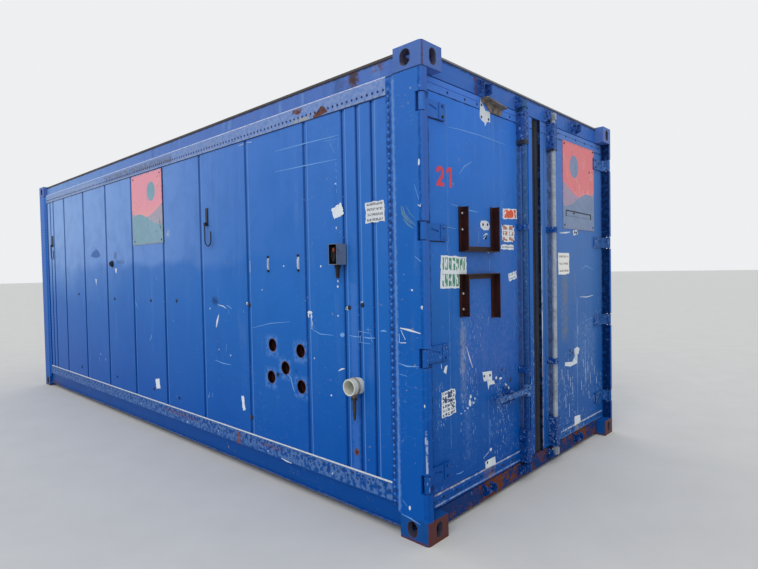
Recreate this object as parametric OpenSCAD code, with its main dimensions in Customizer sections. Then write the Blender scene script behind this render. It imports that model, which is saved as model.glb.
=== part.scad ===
// Insulated 20 foot steel container cabin with two swing doors at one end.
// Length runs along X with the doors at +X, width along Y, height along Z.
// The origin is on the ground, midway between the four lower corner fittings.
// The side with the fixtures is at -Y; seen from outside the doors it is the left side.

/* [Container body] */
// overall length over the corner fittings
container_length = 6058; // [5600:1:6800]
// overall width over the corner fittings
container_width = 2438; // [2300:1:2600]
// overall height over the corner fittings
container_height = 2438; // [2300:1:2700]

/* [Corner fittings] */
// fitting size along the container length
fitting_length = 178; // [165:1:200]
// fitting size across the container width
fitting_width = 162; // [150:1:180]
// fitting height
fitting_height = 118; // [110:1:130]
// wall at the long face of the container
fitting_side_wall = 36; // [26:1:44]
// wall at the end face of the container
fitting_end_wall = 30; // [20:1:40]
// wall that carries the lock slot
fitting_slot_wall = 28; // [20:1:32]
// walls away from the outer faces
fitting_inner_wall = 12; // [8:1:16]
// lock slot length along the container
slot_length = 124.5; // [110:0.5:128]
// lock slot width
slot_width = 63.5; // [55:0.5:75]
// slot and side eye distance from the end face
slot_from_end = 101.5; // [96:0.5:106]
// slot and end eye distance from the long face
slot_from_side = 89; // [82:0.5:96]
// eye height in the outer walls
eye_height = 79.5; // [70:0.5:84]
// side eye width
side_eye_width = 63.5; // [50:0.5:68]
// end eye width
end_eye_width = 51; // [40:0.5:60]
// height of the eye centres from the slot face
eye_centre = 60; // [56:1:64]
// rounding of the upright outer corners
corner_rounding = 18; // [6:1:24]

/* [Walls] */
// recess of the wall skin behind the fitting faces
skin_recess = 14; // [10:1:22]
// thickness of the insulated wall panel
wall_thickness = 70; // [55:1:85]
// thickness of rail bands and post flanges lapped over the skin
lap_thickness = 4; // [2:0.5:6]
// width of one flat wall panel
panel_pitch = 615; // [600:5:630]
// distance of the first panel joint from the closed end fittings
first_joint_inset = 681; // [660:1:700]
// distance of the innermost pressed groove from the door end fittings
near_groove_inset = 389; // [370:1:410]
// distance of the innermost pressed groove from the closed end fittings
far_groove_inset = 300; // [290:1:310]
// pitch of the pressed grooves
groove_pitch = 112; // [90:1:115]
// width of a pressed groove at the skin
groove_width = 38; // [20:1:50]
// depth of a pressed groove
groove_depth = 8; // [4:0.5:12]
// slope run of each groove side
groove_slope = 7; // [3:0.5:9]
// diameter of the five hose holes
hose_hole_diameter = 80; // [60:1:100]
// depth of the dent in the wall
dent_depth = 6; // [3:0.5:10]
// radius of the dent on the skin
dent_radius = 62; // [40:1:90]
// dent from the first panel joint
dent_place = 955; // [930:1:980]
// height of the dent
dent_level = 1575; // [1550:1:1600]

/* [Rails] */
// underside of the lower side rail
rail_foot = 42; // [30:1:54]
// top of the lower rail and foot of the wall panels
rail_top = 163; // [150:1:180]
// height of the riveted band over the foot of the wall panels
band_height = 98; // [60:1:130]
// height of the riveted band over the head of the wall panels
upper_band_height = 93; // [60:1:120]
// recess of the lower rail web behind the skin
web_recess = 10; // [4:1:16]
// thickness of the lower rail plate
rail_plate = 6; // [4:0.5:9]
// thickness of the foot flange
foot_flange = 8; // [5:0.5:12]
// inward reach of the foot flange
foot_reach = 35; // [20:1:50]
// thickness of the bead above the upper band
bead_height = 4; // [3:0.5:10]
// recess of the roof edge behind the fitting faces
roof_edge_recess = 39; // [30:1:50]
// depth of the roof skin below the top of the fittings
roof_drop = 4; // [3:1:14]
// thickness of the roof skin
roof_skin = 5; // [3:0.5:8]
// depth of the folded roof lip
roof_lip = 8; // [5:1:20]
// thickness of the end wall insulation
end_insulation = 88; // [60:1:110]
// distance of the closed end skin behind the fitting faces
end_recess = 20; // [15:1:30]
// height of the floor deck and of the door sill
floor_level = 160; // [150:1:175]
// pitch of the floor grooves
floor_groove_pitch = 75; // [60:1:100]
// width of a floor groove
floor_groove_width = 30; // [20:1:40]
// depth of a floor groove
floor_groove_depth = 12; // [6:1:20]
// pitch of the floor crossmembers
crossmember_pitch = 380; // [300:5:400]
// least distance of a crossmember from the end rails
crossmember_clearance = 120; // [60:5:160]
// flange width of a crossmember
crossmember_flange = 46; // [35:1:60]
// underside of the door sill
sill_foot = 20; // [10:1:30]

/* [Posts] */
// width of the front lip of a door post
lip_width = 42; // [40:1:50]
// depth of the door face behind the fitting faces
door_recess = 66; // [64:1:74]
// slope run of the post rear edge along the length
post_slope = 26; // [15:1:30]
// distance of the wall end behind the fitting rear
wall_lap = 16; // [10:1:20]
// width of the riveted post flange
flange_width = 36; // [25:1:45]

/* [Door leaves] */
// thickness of the outer part of a leaf
leaf_thickness = 55; // [48:1:62]
// thickness of the insulated plug behind it
plug_thickness = 38; // [20:1:50]
// gap between a leaf and the post lip
leaf_gap = 7; // [6:1:10]
// gap above and below a leaf
leaf_end_gap = 6; // [5:0.5:8]
// gap between a plug and the frame around it
plug_gap = 12; // [8:1:16]
// gap between a leaf and the frame behind it
seal_gap = 8; // [7:1:12]
// thickness of the rim seal behind a leaf
rim_seal = 3; // [1:0.5:3]
// left leaf meeting edge from the middle of the container
left_leaf_edge = 5; // [-10:1:20]
// right leaf meeting edge from the middle of the container
right_leaf_edge = 105; // [90:1:120]
// gap between the two centre seals
centre_gap = 12; // [11:1:16]
// depth of the centre seals behind the door face
seal_setback = 8; // [4:1:14]
// distance of the centre seals in front of the leaf back
seal_step = 17; // [12:1:24]
// reach of the plug past the meeting edge behind the seals
plug_overhang = 25; // [10:1:25]
// depth of the door head below the upper fittings
head_drop = 30; // [24:1:40]
// width and depth of the fine grooves across a leaf
score_size = 3; // [2:0.5:4]
// width of the raised rib beside the left rod
rib_width = 14; // [8:1:20]
// rise of the ribs along the meeting edges
rib_rise = 7; // [3:0.5:8]

/* [Hinges] */
// pin distance behind the fitting end face
pin_setback = 18; // [17:0.5:20]
// pin distance in from the fitting long face
pin_inset = 20; // [18:0.5:22]
// pin radius
pin_radius = 8; // [6:0.5:9]
// radial running clearance on the pin
pin_clearance = 0.05; // [0.02:0.01:0.09]
// knuckle radius
knuckle_radius = 15; // [13:0.5:16]
// height of one blade
blade_height = 84; // [70:1:100]
// gap above and below each knuckle
knuckle_gap = 6; // [5:0.5:8]
// pocket reach behind the pin in the outer face
pocket_reach = 24; // [22:1:28]
// gap between a blade and the pocket behind it
pocket_gap = 8; // [7:1:12]
// thickness of the outer post plate
post_plate = 12; // [10:1:12.5]
// blade thickness
blade_thickness = 10; // [8:0.5:12]
// left blade reach from the pin
left_blade_reach = 240; // [200:1:280]
// right blade reach from the pin
right_blade_reach = 194; // [170:1:240]
// length of the slanting groove in a blade
blade_groove_length = 62; // [40:1:70]
// width of the slanting groove in a blade
blade_groove_width = 8; // [4:0.5:10]
// depth of the slanting groove in a blade
blade_groove_depth = 5; // [3:0.5:6]
// slope of the groove in a blade, in degrees
blade_groove_slope = 13; // [5:1:20]
// middle of the groove from the end of a blade
blade_groove_place = 100; // [90:1:110]
// middle of the groove above the foot of a blade
blade_groove_level = 53; // [36:1:58]
// length of the thick end of a blade
blade_pad = 52; // [40:1:60]
// extra thickness of the blade end
pad_rise = 4; // [2:0.5:6]
// middle of the lowest hinge above the lower fittings
first_hinge_rise = 183; // [150:1:210]
// middle of the top hinge below the upper fittings
last_hinge_drop = 168; // [140:1:200]
// pin length held in the post at each end
pin_hold = 22; // [15:1:30]

/* [Lock rods] */
// rod radius
rod_radius = 17; // [14:0.5:19]
// running clearance of the rod in its guides
rod_clearance = 0.06; // [0.02:0.01:0.09]
// rod axis in front of the door face
rod_standoff = 35; // [35:0.5:37]
// left rod position across the doors
left_rod = -166; // [-190:1:-150]
// right rod position across the doors
right_rod = 235; // [220:1:260]
// outer keeper position left of the doors' middle
left_outer_keeper = -585; // [-620:1:-540]
// outer keeper position right of the doors' middle
right_outer_keeper = 650; // [620:1:700]
// guide housing width
guide_width = 58; // [52:1:66]
// housing wall in front of the rod
guide_wall = 3; // [2:0.5:6]
// rounding of the housing front corners
guide_rounding = 8; // [4:0.5:12]
// upper housing height on the left rod
left_upper_guide_height = 199; // [120:1:220]
// upper housing height on the right rod
right_upper_guide_height = 180; // [120:1:220]
// lower housing height
lower_guide_height = 200; // [120:1:220]
// distance of the housings from the leaf ends
guide_end_gap = 4; // [2:1:8]
// height of the middle straps
strap_height = 38; // [30:1:50]
// wall of the strap bow around the rod
strap_wall = 8; // [6:0.5:11]
// height of the upper middle strap
upper_strap = 1581; // [1500:1:1650]
// height of the lower middle strap
lower_strap = 690; // [660:1:760]
// cam radius
cam_radius = 29; // [26:0.5:30]
// cam height
cam_height = 40; // [34:1:46]
// keeper cheek thickness
cheek_thickness = 8; // [6:0.5:10]
// clear distance between keeper cheeks
keeper_opening = 70; // [70:1:88]
// reach of a keeper in front of the door face
keeper_reach = 42; // [38:1:54]
// extra height of a keeper cheek at its root
keeper_splay = 14; // [8:1:16]
// reach of the plate between two keeper cheeks
keeper_plate_reach = 24; // [16:1:25]
// gap between a cam and the keeper plate
cam_gap = 8; // [8:1:12]
// rod length past the cams
rod_stub = 3; // [1:0.5:3]
// gap between the cams and the fitting levels
cam_inset = 6; // [5:1:8]
// handle length from the rod
handle_length = 379; // [300:1:400]
// handle bar height
handle_height = 32; // [24:1:40]
// handle bar thickness
handle_thickness = 12; // [8:0.5:16]
// handle bar distance in front of the rod axis
handle_offset = 5; // [4:0.5:8]
// handle centre above the ground
handle_level = 580; // [560:1:600]
// handle hub height
hub_height = 72; // [60:1:90]
// handle hub wall
hub_wall = 9; // [7:0.5:11]
// gap between the handle and its catch
catch_gap = 6; // [5:0.5:8]
// catch distance from the rod
catch_from_rod = 204; // [150:1:240]
// catch width
catch_width = 50; // [40:1:70]
// thickness of the catch jaws
catch_jaw = 14; // [8:1:20]

/* [Door racks and bracket] */
// leg of the rack angle
angle_leg = 40; // [30:1:45]
// thickness of the rack angle
angle_thickness = 5; // [4:0.5:7]
// outer width of a rack
rack_width = 360; // [330:1:400]
// rack middle across the doors
rack_middle = -656; // [-680:1:-640]
// height of a rack
rack_height = 260; // [200:1:280]
// height of the cross bar of a rack
rack_bar = 30; // [20:1:40]
// length cut from the head of the upper rack's left upright
upper_rack_cut = 17; // [0:1:30]
// length cut from the foot of the lower rack's left upright
lower_rack_cut = 28; // [0:1:40]
// underside of the upper rack
upper_rack = 1440; // [1430:1:1460]
// underside of the lower rack
lower_rack = 1060; // [1040:1:1080]
// thickness of the bent bracket plate
bracket_plate = 6; // [4:0.5:8]
// left edge of the bent bracket across the doors
bracket_place = -600; // [-620:1:-580]
// length of the bent bracket across the door
bracket_length = 222; // [180:1:230]
// height of the bent bracket plate
bracket_drop = 62; // [50:1:80]
// gap between the bent bracket and the top of the leaf
bracket_gap = 6; // [4:1:14]
// outward reach of the bent bracket
bracket_reach = 47; // [40:1:54]
// fall of the folded lip along the bent bracket, in degrees
bracket_sag = 6; // [2:1:10]

/* [Side fixtures] */
// junction box width along the container
box_width = 67; // [50:1:80]
// junction box height
box_height = 114; // [90:1:130]
// junction box depth from the skin
box_depth = 70; // [50:1:80]
// junction box wall
box_wall = 4; // [3:0.5:6]
// junction box middle from the door end fittings
box_inset = 410; // [400:1:420]
// underside of the junction box
box_foot = 1383; // [1350:1:1420]
// gland length below the box
gland_length = 74; // [62:1:90]
// gland body radius
gland_radius = 12; // [9:0.5:16]
// drain pipe outer radius
pipe_radius = 45; // [38:0.5:48]
// drain pipe wall
pipe_wall = 6; // [4:0.5:8]
// drain pipe reach in front of the skin
pipe_reach = 70; // [50:1:80]
// drain pipe axis from the door end fittings
pipe_inset = 303; // [295:1:311]
// drain pipe height
pipe_level = 725; // [700:1:750]
// thickness of the clamp band around the pipe
clamp_thickness = 4; // [3:0.5:6]
// width of the clamp band
clamp_width = 14; // [10:1:20]
// height of the dangling clamp tongue
tongue_length = 110; // [80:1:140]
// width of the side placard
placard_width = 595; // [560:1:605]
// width of the door placard
door_placard_width = 560; // [540:1:600]
// height of the side placard
placard_height = 612; // [580:1:625]
// height of the door placard
door_placard_height = 628; // [590:1:640]
// gap between the door placard and the blade it is cut around
placard_cut_gap = 4; // [2:0.5:8]
// thickness of a placard
placard_thickness = 3; // [2:0.5:4]
// gap between the side placard and the band above it
placard_gap = 7; // [1:1:12]
// left edge of the side placard from the panel joint
placard_from_joint = 15; // [5:1:19]
// gap between the door placard and the top of the leaf
door_placard_drop = 64; // [50:1:90]
// left edge of the door placard
door_placard_edge = 461; // [440:1:490]
// hook rod radius
hook_radius = 4.5; // [3.5:0.5:6]
// bow radius of a hook
hook_bow = 42; // [30:1:46]
// stand-off of a hook in front of the skin
hook_standoff = 24; // [16:1:30]
// height of the free hook tip above the bow
hook_tip = 60; // [40:1:80]
// thickness of the hook plates
hook_plate = 8; // [5:0.5:10]
// underside of the hook bows
hook_level = 1543; // [1530:1:1560]
// height of a hook's shank above its bow
hook_shank = 130; // [100:1:150]
// height of a hook's plate above its shank
hook_plate_rise = 106; // [80:1:130]
// overlap of a hook's plate and its shank
hook_overlap = 24; // [16:1:30]
// width of a hook's plate
hook_plate_width = 28; // [22:1:34]
// width of the arm from the plate to the shank
hook_arm_width = 16; // [12:1:20]
// near hook from the panel joint behind it
near_hook_from_joint = 98; // [80:1:120]
// far hook from the closed end fittings
far_hook_inset = 251; // [240:1:270]
// height of a wall latch
latch_height = 84; // [60:1:100]
// width of a wall latch
latch_width = 16; // [12:1:24]
// middle height of the wall latches
latch_level = 1401; // [1380:1:1420]
// first latch from the panel joint
first_latch_place = 231; // [200:1:260]
// second latch from the panel joint
second_latch_place = 537; // [500:1:560]
// radius of the pipe coupling
coupling_radius = 24; // [18:0.5:30]
// reach of the pipe coupling
coupling_reach = 22; // [14:1:30]
// width of the coupling's collar
coupling_collar = 8; // [5:0.5:12]
// wall of the coupling
coupling_wall = 6; // [4:0.5:9]
// coupling from the first panel joint
coupling_place = 1363; // [1330:1:1400]
// height of the coupling
coupling_level = 1455; // [1430:1:1480]

/* [Hidden] */
$fn = 64;
hx = container_length / 2;
hy = container_width / 2;
top_fitting_foot = container_height - fitting_height;
half_span = hy - fitting_width;
roof_level = container_height - roof_drop - roof_skin;
skin_y = hy - skin_recess;
band_y = skin_y + lap_thickness;
room_y = skin_y - wall_thickness;
post_rear = hx - fitting_length;
wall_end = post_rear - wall_lap;
flange_end = post_rear - post_slope - flange_width;
roof_edge_y = hy - roof_edge_recess;
rail_cap_y = roof_edge_y - lap_thickness;
web_y = skin_y - web_recess;
band_top = rail_top + band_height;
upper_band_foot = top_fitting_foot - upper_band_height;
end_skin_x = -hx + end_recess;
end_rail_x = end_skin_x - lap_thickness;
door_x = hx - door_recess;
leaf_back = door_x - leaf_thickness;
plug_back = leaf_back - plug_thickness;
jamb_x = leaf_back - seal_gap;
lip_y = hy - lip_width;
leaf_edge_y = lip_y - leaf_gap;
plug_edge_y = room_y - plug_gap;
opening_top = top_fitting_foot - head_drop;
leaf_top = top_fitting_foot - leaf_end_gap;
leaf_bottom = fitting_height + leaf_end_gap;
pin_x = hx - pin_setback;
pin_y = hy - pin_inset;
rod_x = door_x + rod_standoff;
guide_front = rod_x + rod_radius + guide_wall;
first_hinge = fitting_height + first_hinge_rise;
hinge_pitch = (top_fitting_foot - last_hinge_drop - first_hinge) / 3;
seal_left = left_leaf_edge + (right_leaf_edge - left_leaf_edge - centre_gap) / 2;
seal_right = seal_left + centre_gap;
seal_front = door_x - seal_setback;
near_grooves = post_rear - near_groove_inset;
far_grooves = far_groove_inset - post_rear;
first_joint = first_joint_inset - post_rear;
joint_count = floor((near_grooves - groove_width - first_joint) / panel_pitch) + 1;
panel_right = first_joint + (joint_count - 1) * panel_pitch;
panel_left = panel_right - panel_pitch;
placard_left = first_joint + 3 * panel_pitch + placard_from_joint;
box_middle = post_rear - box_inset;
pipe_place = post_rear - pipe_inset;
cam_foot = fitting_height - cam_inset - cam_height;
cam_head_foot = top_fitting_foot + 3 * cam_inset;
crossmembers_each_way = floor((post_rear - crossmember_clearance) / crossmember_pitch);
near_hook = panel_left - panel_pitch + near_hook_from_joint;
far_hook = far_hook_inset - post_rear;
hose_holes = [[253, 882], [537, 869], [384, 749], [234, 674], [539, 651]];
eps = 1;

// a block between two opposite corners
module block(low, high) {
    translate(low) cube([high[0] - low[0], high[1] - low[1], high[2] - low[2]]);
}

module both_sides() {
    children();
    mirror([0, 1, 0]) children();
}

module both_ends() {
    children();
    mirror([1, 0, 0]) children();
}

// a flat outline in Y and Z carried along X
module along_x(from, to) {
    translate([from, 0, 0]) rotate([90, 0, 90]) linear_extrude(to - from) children();
}

// a flat outline in X and Z carried along Y
module along_y(from, to) {
    translate([0, to, 0]) rotate([90, 0, 0]) linear_extrude(to - from) children();
}

// a slot with round ends, long along X
module slot_outline(length, width) {
    square([length - width, width], center = true);
    for (side = [-1, 1]) {
        translate([side * (length - width) / 2, 0]) circle(d = width);
    }
}

// the sharp corner that a rounding takes away, at the high X and high Y end
module corner_waste(x, y, radius) {
    difference() {
        translate([x - radius, y - radius]) square(radius + eps);
        translate([x - radius, y - radius]) circle(r = radius);
    }
}

module bottom_fitting() {
    difference() {
        linear_extrude(fitting_height) difference() {
            translate([post_rear, half_span]) square([fitting_length, fitting_width]);
            corner_waste(hx, hy, corner_rounding);
        }
        block([post_rear + fitting_inner_wall, half_span + fitting_inner_wall, fitting_slot_wall],
            [hx - fitting_end_wall, hy - fitting_side_wall, fitting_height - fitting_inner_wall]);
        translate([hx - slot_from_end, hy - slot_from_side, -eps])
            linear_extrude(fitting_slot_wall + 2 * eps) slot_outline(slot_length, slot_width);
        translate([hx - slot_from_end, hy + eps, eye_centre]) rotate([90, 90, 0])
            linear_extrude(fitting_side_wall + 2 * eps) slot_outline(eye_height, side_eye_width);
        translate([hx + eps, hy - slot_from_side, eye_centre]) rotate([0, -90, 0])
            linear_extrude(fitting_end_wall + 2 * eps) slot_outline(eye_height, end_eye_width);
    }
}

module bottom_corner_fittings() {
    color([0.15, 0.28, 0.58]) both_ends() both_sides() bottom_fitting();
}

module top_corner_fittings() {
    color([0.16, 0.32, 0.66]) both_ends() both_sides()
        translate([0, 0, container_height]) mirror([0, 0, 1]) bottom_fitting();
}

function hinge_foot(i) = first_hinge + i * hinge_pitch - blade_height / 2;

module hinge_pin() {
    for (i = [0:3]) {
        translate([pin_x, pin_y, hinge_foot(i) - knuckle_gap - pin_hold])
            cylinder(r = pin_radius, h = blade_height + 2 * (knuckle_gap + pin_hold));
    }
}

// plan of a post: sloped lap over the wall, box around the corner, return behind the door leaf
module post_outline(inner_front, inner_lip) {
    difference() {
        polygon([
            [hx, hy], [post_rear, hy], [post_rear - post_slope, band_y], [flange_end, band_y],
            [flange_end, skin_y], [wall_end, skin_y], [wall_end, room_y],
            [inner_front, room_y], [inner_front, inner_lip], [hx, inner_lip]
        ]);
        corner_waste(hx, hy, corner_rounding);
    }
}

module post(inner_front, inner_lip) {
    difference() {
        translate([0, 0, fitting_height])
            linear_extrude(top_fitting_foot - fitting_height) post_outline(inner_front, inner_lip);
        block([flange_end - eps, room_y - eps, fitting_height - eps], [post_rear - post_slope, hy, rail_top]);
    }
}

module hinge_pocket() {
    height = blade_height + 2 * knuckle_gap;
    block([pin_x - pocket_reach, hy - post_plate - eps, 0], [hx + eps, hy + eps, height]);
    block([door_x - pocket_gap, lip_y - eps, 0], [hx + eps, hy - post_plate, height]);
}

module door_post() {
    difference() {
        post(jamb_x, lip_y);
        for (i = [0:3]) {
            translate([0, 0, hinge_foot(i) - knuckle_gap]) hinge_pocket();
        }
        hinge_pin();
    }
}

module door_end_posts() {
    color([0.16, 0.32, 0.66]) both_sides() door_post();
}

module closed_end_posts() {
    color([0.16, 0.32, 0.66]) both_sides() mirror([1, 0, 0]) post(-end_skin_x, room_y);
}

module hinge_pins() {
    color([0.35, 0.30, 0.28]) both_sides() hinge_pin();
}

module door_header() {
    color([0.16, 0.32, 0.66]) union() {
        block([post_rear, -half_span, top_fitting_foot], [door_x, half_span, roof_level]);
        block([post_rear, -room_y, opening_top], [jamb_x, room_y, top_fitting_foot]);
    }
}

module door_sill() {
    color([0.34, 0.17, 0.12]) union() {
        block([post_rear, -half_span, sill_foot], [door_x, half_span, fitting_height - 2]);
        block([post_rear, -half_span, sill_foot], [jamb_x, half_span, floor_level]);
        block([post_rear, -room_y, fitting_height], [jamb_x, room_y, floor_level]);
    }
}

module closed_end_rails() {
    color([0.16, 0.32, 0.66]) union() {
        block([end_rail_x, -half_span, rail_foot], [-post_rear, half_span, fitting_height]);
        block([end_rail_x, -room_y, fitting_height], [-post_rear, room_y, floor_level]);
        block([end_rail_x, -half_span, top_fitting_foot], [-post_rear, half_span, roof_level]);
    }
}

// rail with a lapped band and a bead, rising with a slight slope to the roof edge
module top_side_rail() {
    along_x(-post_rear, post_rear) polygon([
        [room_y, top_fitting_foot], [skin_y, top_fitting_foot],
        [skin_y, top_fitting_foot + bead_height / 2], [roof_edge_y, top_fitting_foot + bead_height],
        [rail_cap_y, roof_level - roof_lip], [rail_cap_y, roof_level], [room_y, roof_level]
    ]);
    along_x(-flange_end, flange_end) polygon([
        [skin_y, upper_band_foot], [band_y, upper_band_foot], [band_y, top_fitting_foot + bead_height / 2],
        [band_y - lap_thickness / 2, top_fitting_foot + bead_height],
        [roof_edge_y, top_fitting_foot + bead_height], [skin_y, top_fitting_foot + bead_height / 2]
    ]);
}

module top_side_rails() {
    color([0.16, 0.32, 0.66]) both_sides() top_side_rail();
}

// folded channel with a foot flange, and a band lapped over the wall foot
module bottom_side_rail() {
    along_x(-post_rear, post_rear) polygon([
        [web_y - rail_plate - foot_reach, rail_foot], [skin_y, rail_foot], [skin_y, rail_foot + foot_flange],
        [web_y, rail_foot + foot_flange], [web_y, fitting_height], [web_y - rail_plate, fitting_height],
        [web_y - rail_plate, rail_foot + foot_flange], [web_y - rail_plate - foot_reach, rail_foot + foot_flange]
    ]);
    along_x(-wall_end, wall_end) polygon([
        [web_y - rail_plate, fitting_height], [web_y, fitting_height], [web_y, rail_top],
        [room_y, rail_top], [room_y, rail_top - rail_plate], [web_y - rail_plate, rail_top - rail_plate]
    ]);
    along_x(-flange_end, flange_end) polygon([
        [web_y, rail_top - lap_thickness], [band_y, rail_top - lap_thickness], [band_y, band_top],
        [skin_y, band_top], [skin_y, rail_top], [web_y, rail_top]
    ]);
}

module bottom_side_rails() {
    color([0.15, 0.29, 0.60]) both_sides() bottom_side_rail();
}

module roof_panel() {
    front = door_x + lap_thickness;
    rear = end_rail_x - lap_thickness;
    color([0.50, 0.52, 0.53]) union() {
        block([-post_rear, -roof_edge_y, roof_level], [post_rear, roof_edge_y, roof_level + roof_skin]);
        block([rear, -half_span, roof_level], [front, half_span, roof_level + roof_skin]);
        both_sides() block([-post_rear, rail_cap_y, roof_level - roof_lip],
            [post_rear, roof_edge_y, roof_level + roof_skin]);
        block([door_x, -half_span, roof_level - roof_lip], [front, half_span, roof_level + roof_skin]);
        block([rear, -half_span, roof_level - roof_lip], [end_rail_x, half_span, roof_level + roof_skin]);
    }
}

module roof_lining() {
    color([0.82, 0.82, 0.80]) union() {
        block([-post_rear, -room_y, top_fitting_foot], [post_rear, room_y, roof_level]);
        block([end_skin_x + end_insulation, -room_y, opening_top], [post_rear, room_y, top_fitting_foot]);
    }
}

module wall_groove(x) {
    translate([x, skin_y, band_top]) linear_extrude(upper_band_foot - band_top)
        polygon([
            [-groove_width / 2, eps], [-groove_width / 2, 0], [groove_slope - groove_width / 2, -groove_depth],
            [groove_width / 2 - groove_slope, -groove_depth], [groove_width / 2, 0], [groove_width / 2, eps]
        ]);
}

// a stretch of long wall with its grooves, on the +Y side
module wall_stretch(from, to) {
    difference() {
        block([from, room_y, rail_top], [to, skin_y, top_fitting_foot]);
        for (i = [0:joint_count - 1]) wall_groove(first_joint + i * panel_pitch);
        for (i = [0:2]) {
            wall_groove(near_grooves + i * groove_pitch);
            wall_groove(far_grooves - i * groove_pitch);
        }
    }
}

module left_wall() {
    ball = (dent_radius * dent_radius + dent_depth * dent_depth) / (2 * dent_depth);
    color([0.20, 0.38, 0.75]) difference() {
        mirror([0, 1, 0]) wall_stretch(-wall_end, panel_left);
        translate([first_joint + dent_place, -skin_y - ball + dent_depth, dent_level]) sphere(r = ball);
    }
}

module hose_panel() {
    color([0.18, 0.36, 0.74]) difference() {
        mirror([0, 1, 0]) wall_stretch(panel_left, panel_right);
        for (hole = hose_holes) {
            translate([panel_left + hole[0], -room_y + eps, hole[1]]) rotate([90, 0, 0])
                cylinder(d = hose_hole_diameter, h = wall_thickness + 2 * eps);
        }
    }
}

module left_wall_end_panel() {
    color([0.18, 0.36, 0.74]) difference() {
        mirror([0, 1, 0]) wall_stretch(panel_right, wall_end);
        translate([pipe_place, -room_y + eps, pipe_level]) rotate([90, 0, 0])
            cylinder(r = pipe_radius, h = wall_thickness + 2 * eps);
    }
}

module right_wall() {
    color([0.18, 0.36, 0.74]) wall_stretch(-wall_end, wall_end);
}

module end_wall() {
    color([0.18, 0.36, 0.74]) difference() {
        block([end_skin_x, -room_y, floor_level], [end_skin_x + end_insulation, room_y, top_fitting_foot]);
        for (y = [-panel_pitch, 0, panel_pitch]) {
            translate([end_skin_x, y, band_top]) linear_extrude(upper_band_foot - band_top)
                polygon([
                    [-eps, -groove_width / 2], [0, -groove_width / 2],
                    [groove_depth, groove_slope - groove_width / 2],
                    [groove_depth, groove_width / 2 - groove_slope],
                    [0, groove_width / 2], [-eps, groove_width / 2]
                ]);
        }
    }
}

module floor_deck() {
    grooves = floor((room_y - floor_groove_width) / floor_groove_pitch);
    color([0.52, 0.52, 0.50]) difference() {
        block([-post_rear, -room_y, fitting_height], [post_rear, room_y, floor_level]);
        for (i = [-grooves:grooves]) {
            translate([-post_rear - eps, i * floor_groove_pitch - floor_groove_width / 2,
                floor_level - floor_groove_depth])
                cube([2 * post_rear + 2 * eps, floor_groove_width, floor_groove_depth + eps]);
        }
    }
}

// floor beams of channel section between the lower side rails
module floor_crossmembers() {
    foot = rail_foot + foot_flange;
    half = web_y - rail_plate;
    color([0.14, 0.22, 0.42]) for (i = [-crossmembers_each_way:crossmembers_each_way]) {
        translate([i * crossmember_pitch - crossmember_flange / 2, 0, 0]) along_y(-half, half) polygon([
            [0, foot], [crossmember_flange, foot], [crossmember_flange, foot + rail_plate],
            [rail_plate, foot + rail_plate], [rail_plate, fitting_height - rail_plate],
            [crossmember_flange, fitting_height - rail_plate], [crossmember_flange, fitting_height],
            [0, fitting_height]
        ]);
    }
}

// two cheeks, taller at the root than in front, and a plate that a cam turns behind;
// root and front each hold a foot and a head height
module keeper(centre, root, front, plate_foot) {
    half = keeper_opening / 2;
    for (low = [centre - half - cheek_thickness, centre + half]) {
        along_y(low, low + cheek_thickness) polygon([
            [door_x, root[0]], [door_x + keeper_reach, front[0]],
            [door_x + keeper_reach, front[1]], [door_x, root[1]]
        ]);
    }
    block([door_x, centre - half, plate_foot],
        [door_x + keeper_plate_reach, centre + half, plate_foot + cheek_thickness]);
}

module cam_keepers() {
    upper_plate = cam_head_foot + cam_height + cam_gap;
    lower_plate = cam_foot - cam_gap - cheek_thickness;
    cam_head = cam_foot + cam_height;
    color([0.15, 0.29, 0.60]) for (c = [left_outer_keeper, left_rod, right_rod, right_outer_keeper]) {
        keeper(c, [cam_head_foot - keeper_splay, upper_plate + cheek_thickness + keeper_splay],
            [cam_head_foot, upper_plate], upper_plate);
        keeper(c, [lower_plate - keeper_splay, cam_head - cam_inset / 2],
            [lower_plate + cheek_thickness, cam_head - 2 * cam_inset], lower_plate);
    }
}

module score(level) {
    block([door_x - score_size, -hy, level - score_size / 2], [door_x + eps, hy, level + score_size / 2]);
}

// outer plate with the plug behind it and four fine lines across the face
module leaf(low, high, plug_low, plug_high) {
    difference() {
        union() {
            block([leaf_back, low, leaf_bottom], [door_x, high, leaf_top]);
            block([plug_back, plug_low, floor_level + plug_gap],
                [leaf_back, plug_high, opening_top - plug_gap]);
        }
        for (inset = [30, 70]) {
            score(leaf_top - inset);
            score(leaf_bottom + inset + 8);
        }
    }
}

module left_door_leaf() {
    color([0.20, 0.39, 0.76]) union() {
        leaf(-leaf_edge_y, left_leaf_edge, -plug_edge_y, left_leaf_edge + plug_overhang);
        block([door_x, left_leaf_edge - 61, leaf_bottom], [door_x + rib_rise, left_leaf_edge - 61 + rib_width,
            leaf_top]);
    }
}

module right_door_leaf() {
    color([0.20, 0.39, 0.76]) union() {
        leaf(right_leaf_edge, leaf_edge_y, right_leaf_edge - plug_overhang, plug_edge_y);
        block([door_x, right_leaf_edge, leaf_bottom], [door_x + rib_rise, right_leaf_edge + rib_width, leaf_top]);
        block([door_x, right_leaf_edge + 60, leaf_bottom],
            [door_x + rib_rise / 2, right_leaf_edge + 60 + rib_width / 2, leaf_top]);
    }
}

// ribbed centre seal on a meeting edge, drawn from low to high across the doors
module centre_seal(low, high) {
    bead = (high - low) / 4;
    back = leaf_back + seal_step;
    translate([0, 0, leaf_bottom]) linear_extrude(leaf_top - leaf_bottom) {
        translate([back, low]) square([seal_front - bead - back, high - low]);
        for (c = [low + bead, high - bead]) {
            translate([seal_front - bead, c]) circle(r = bead);
        }
    }
}

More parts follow.
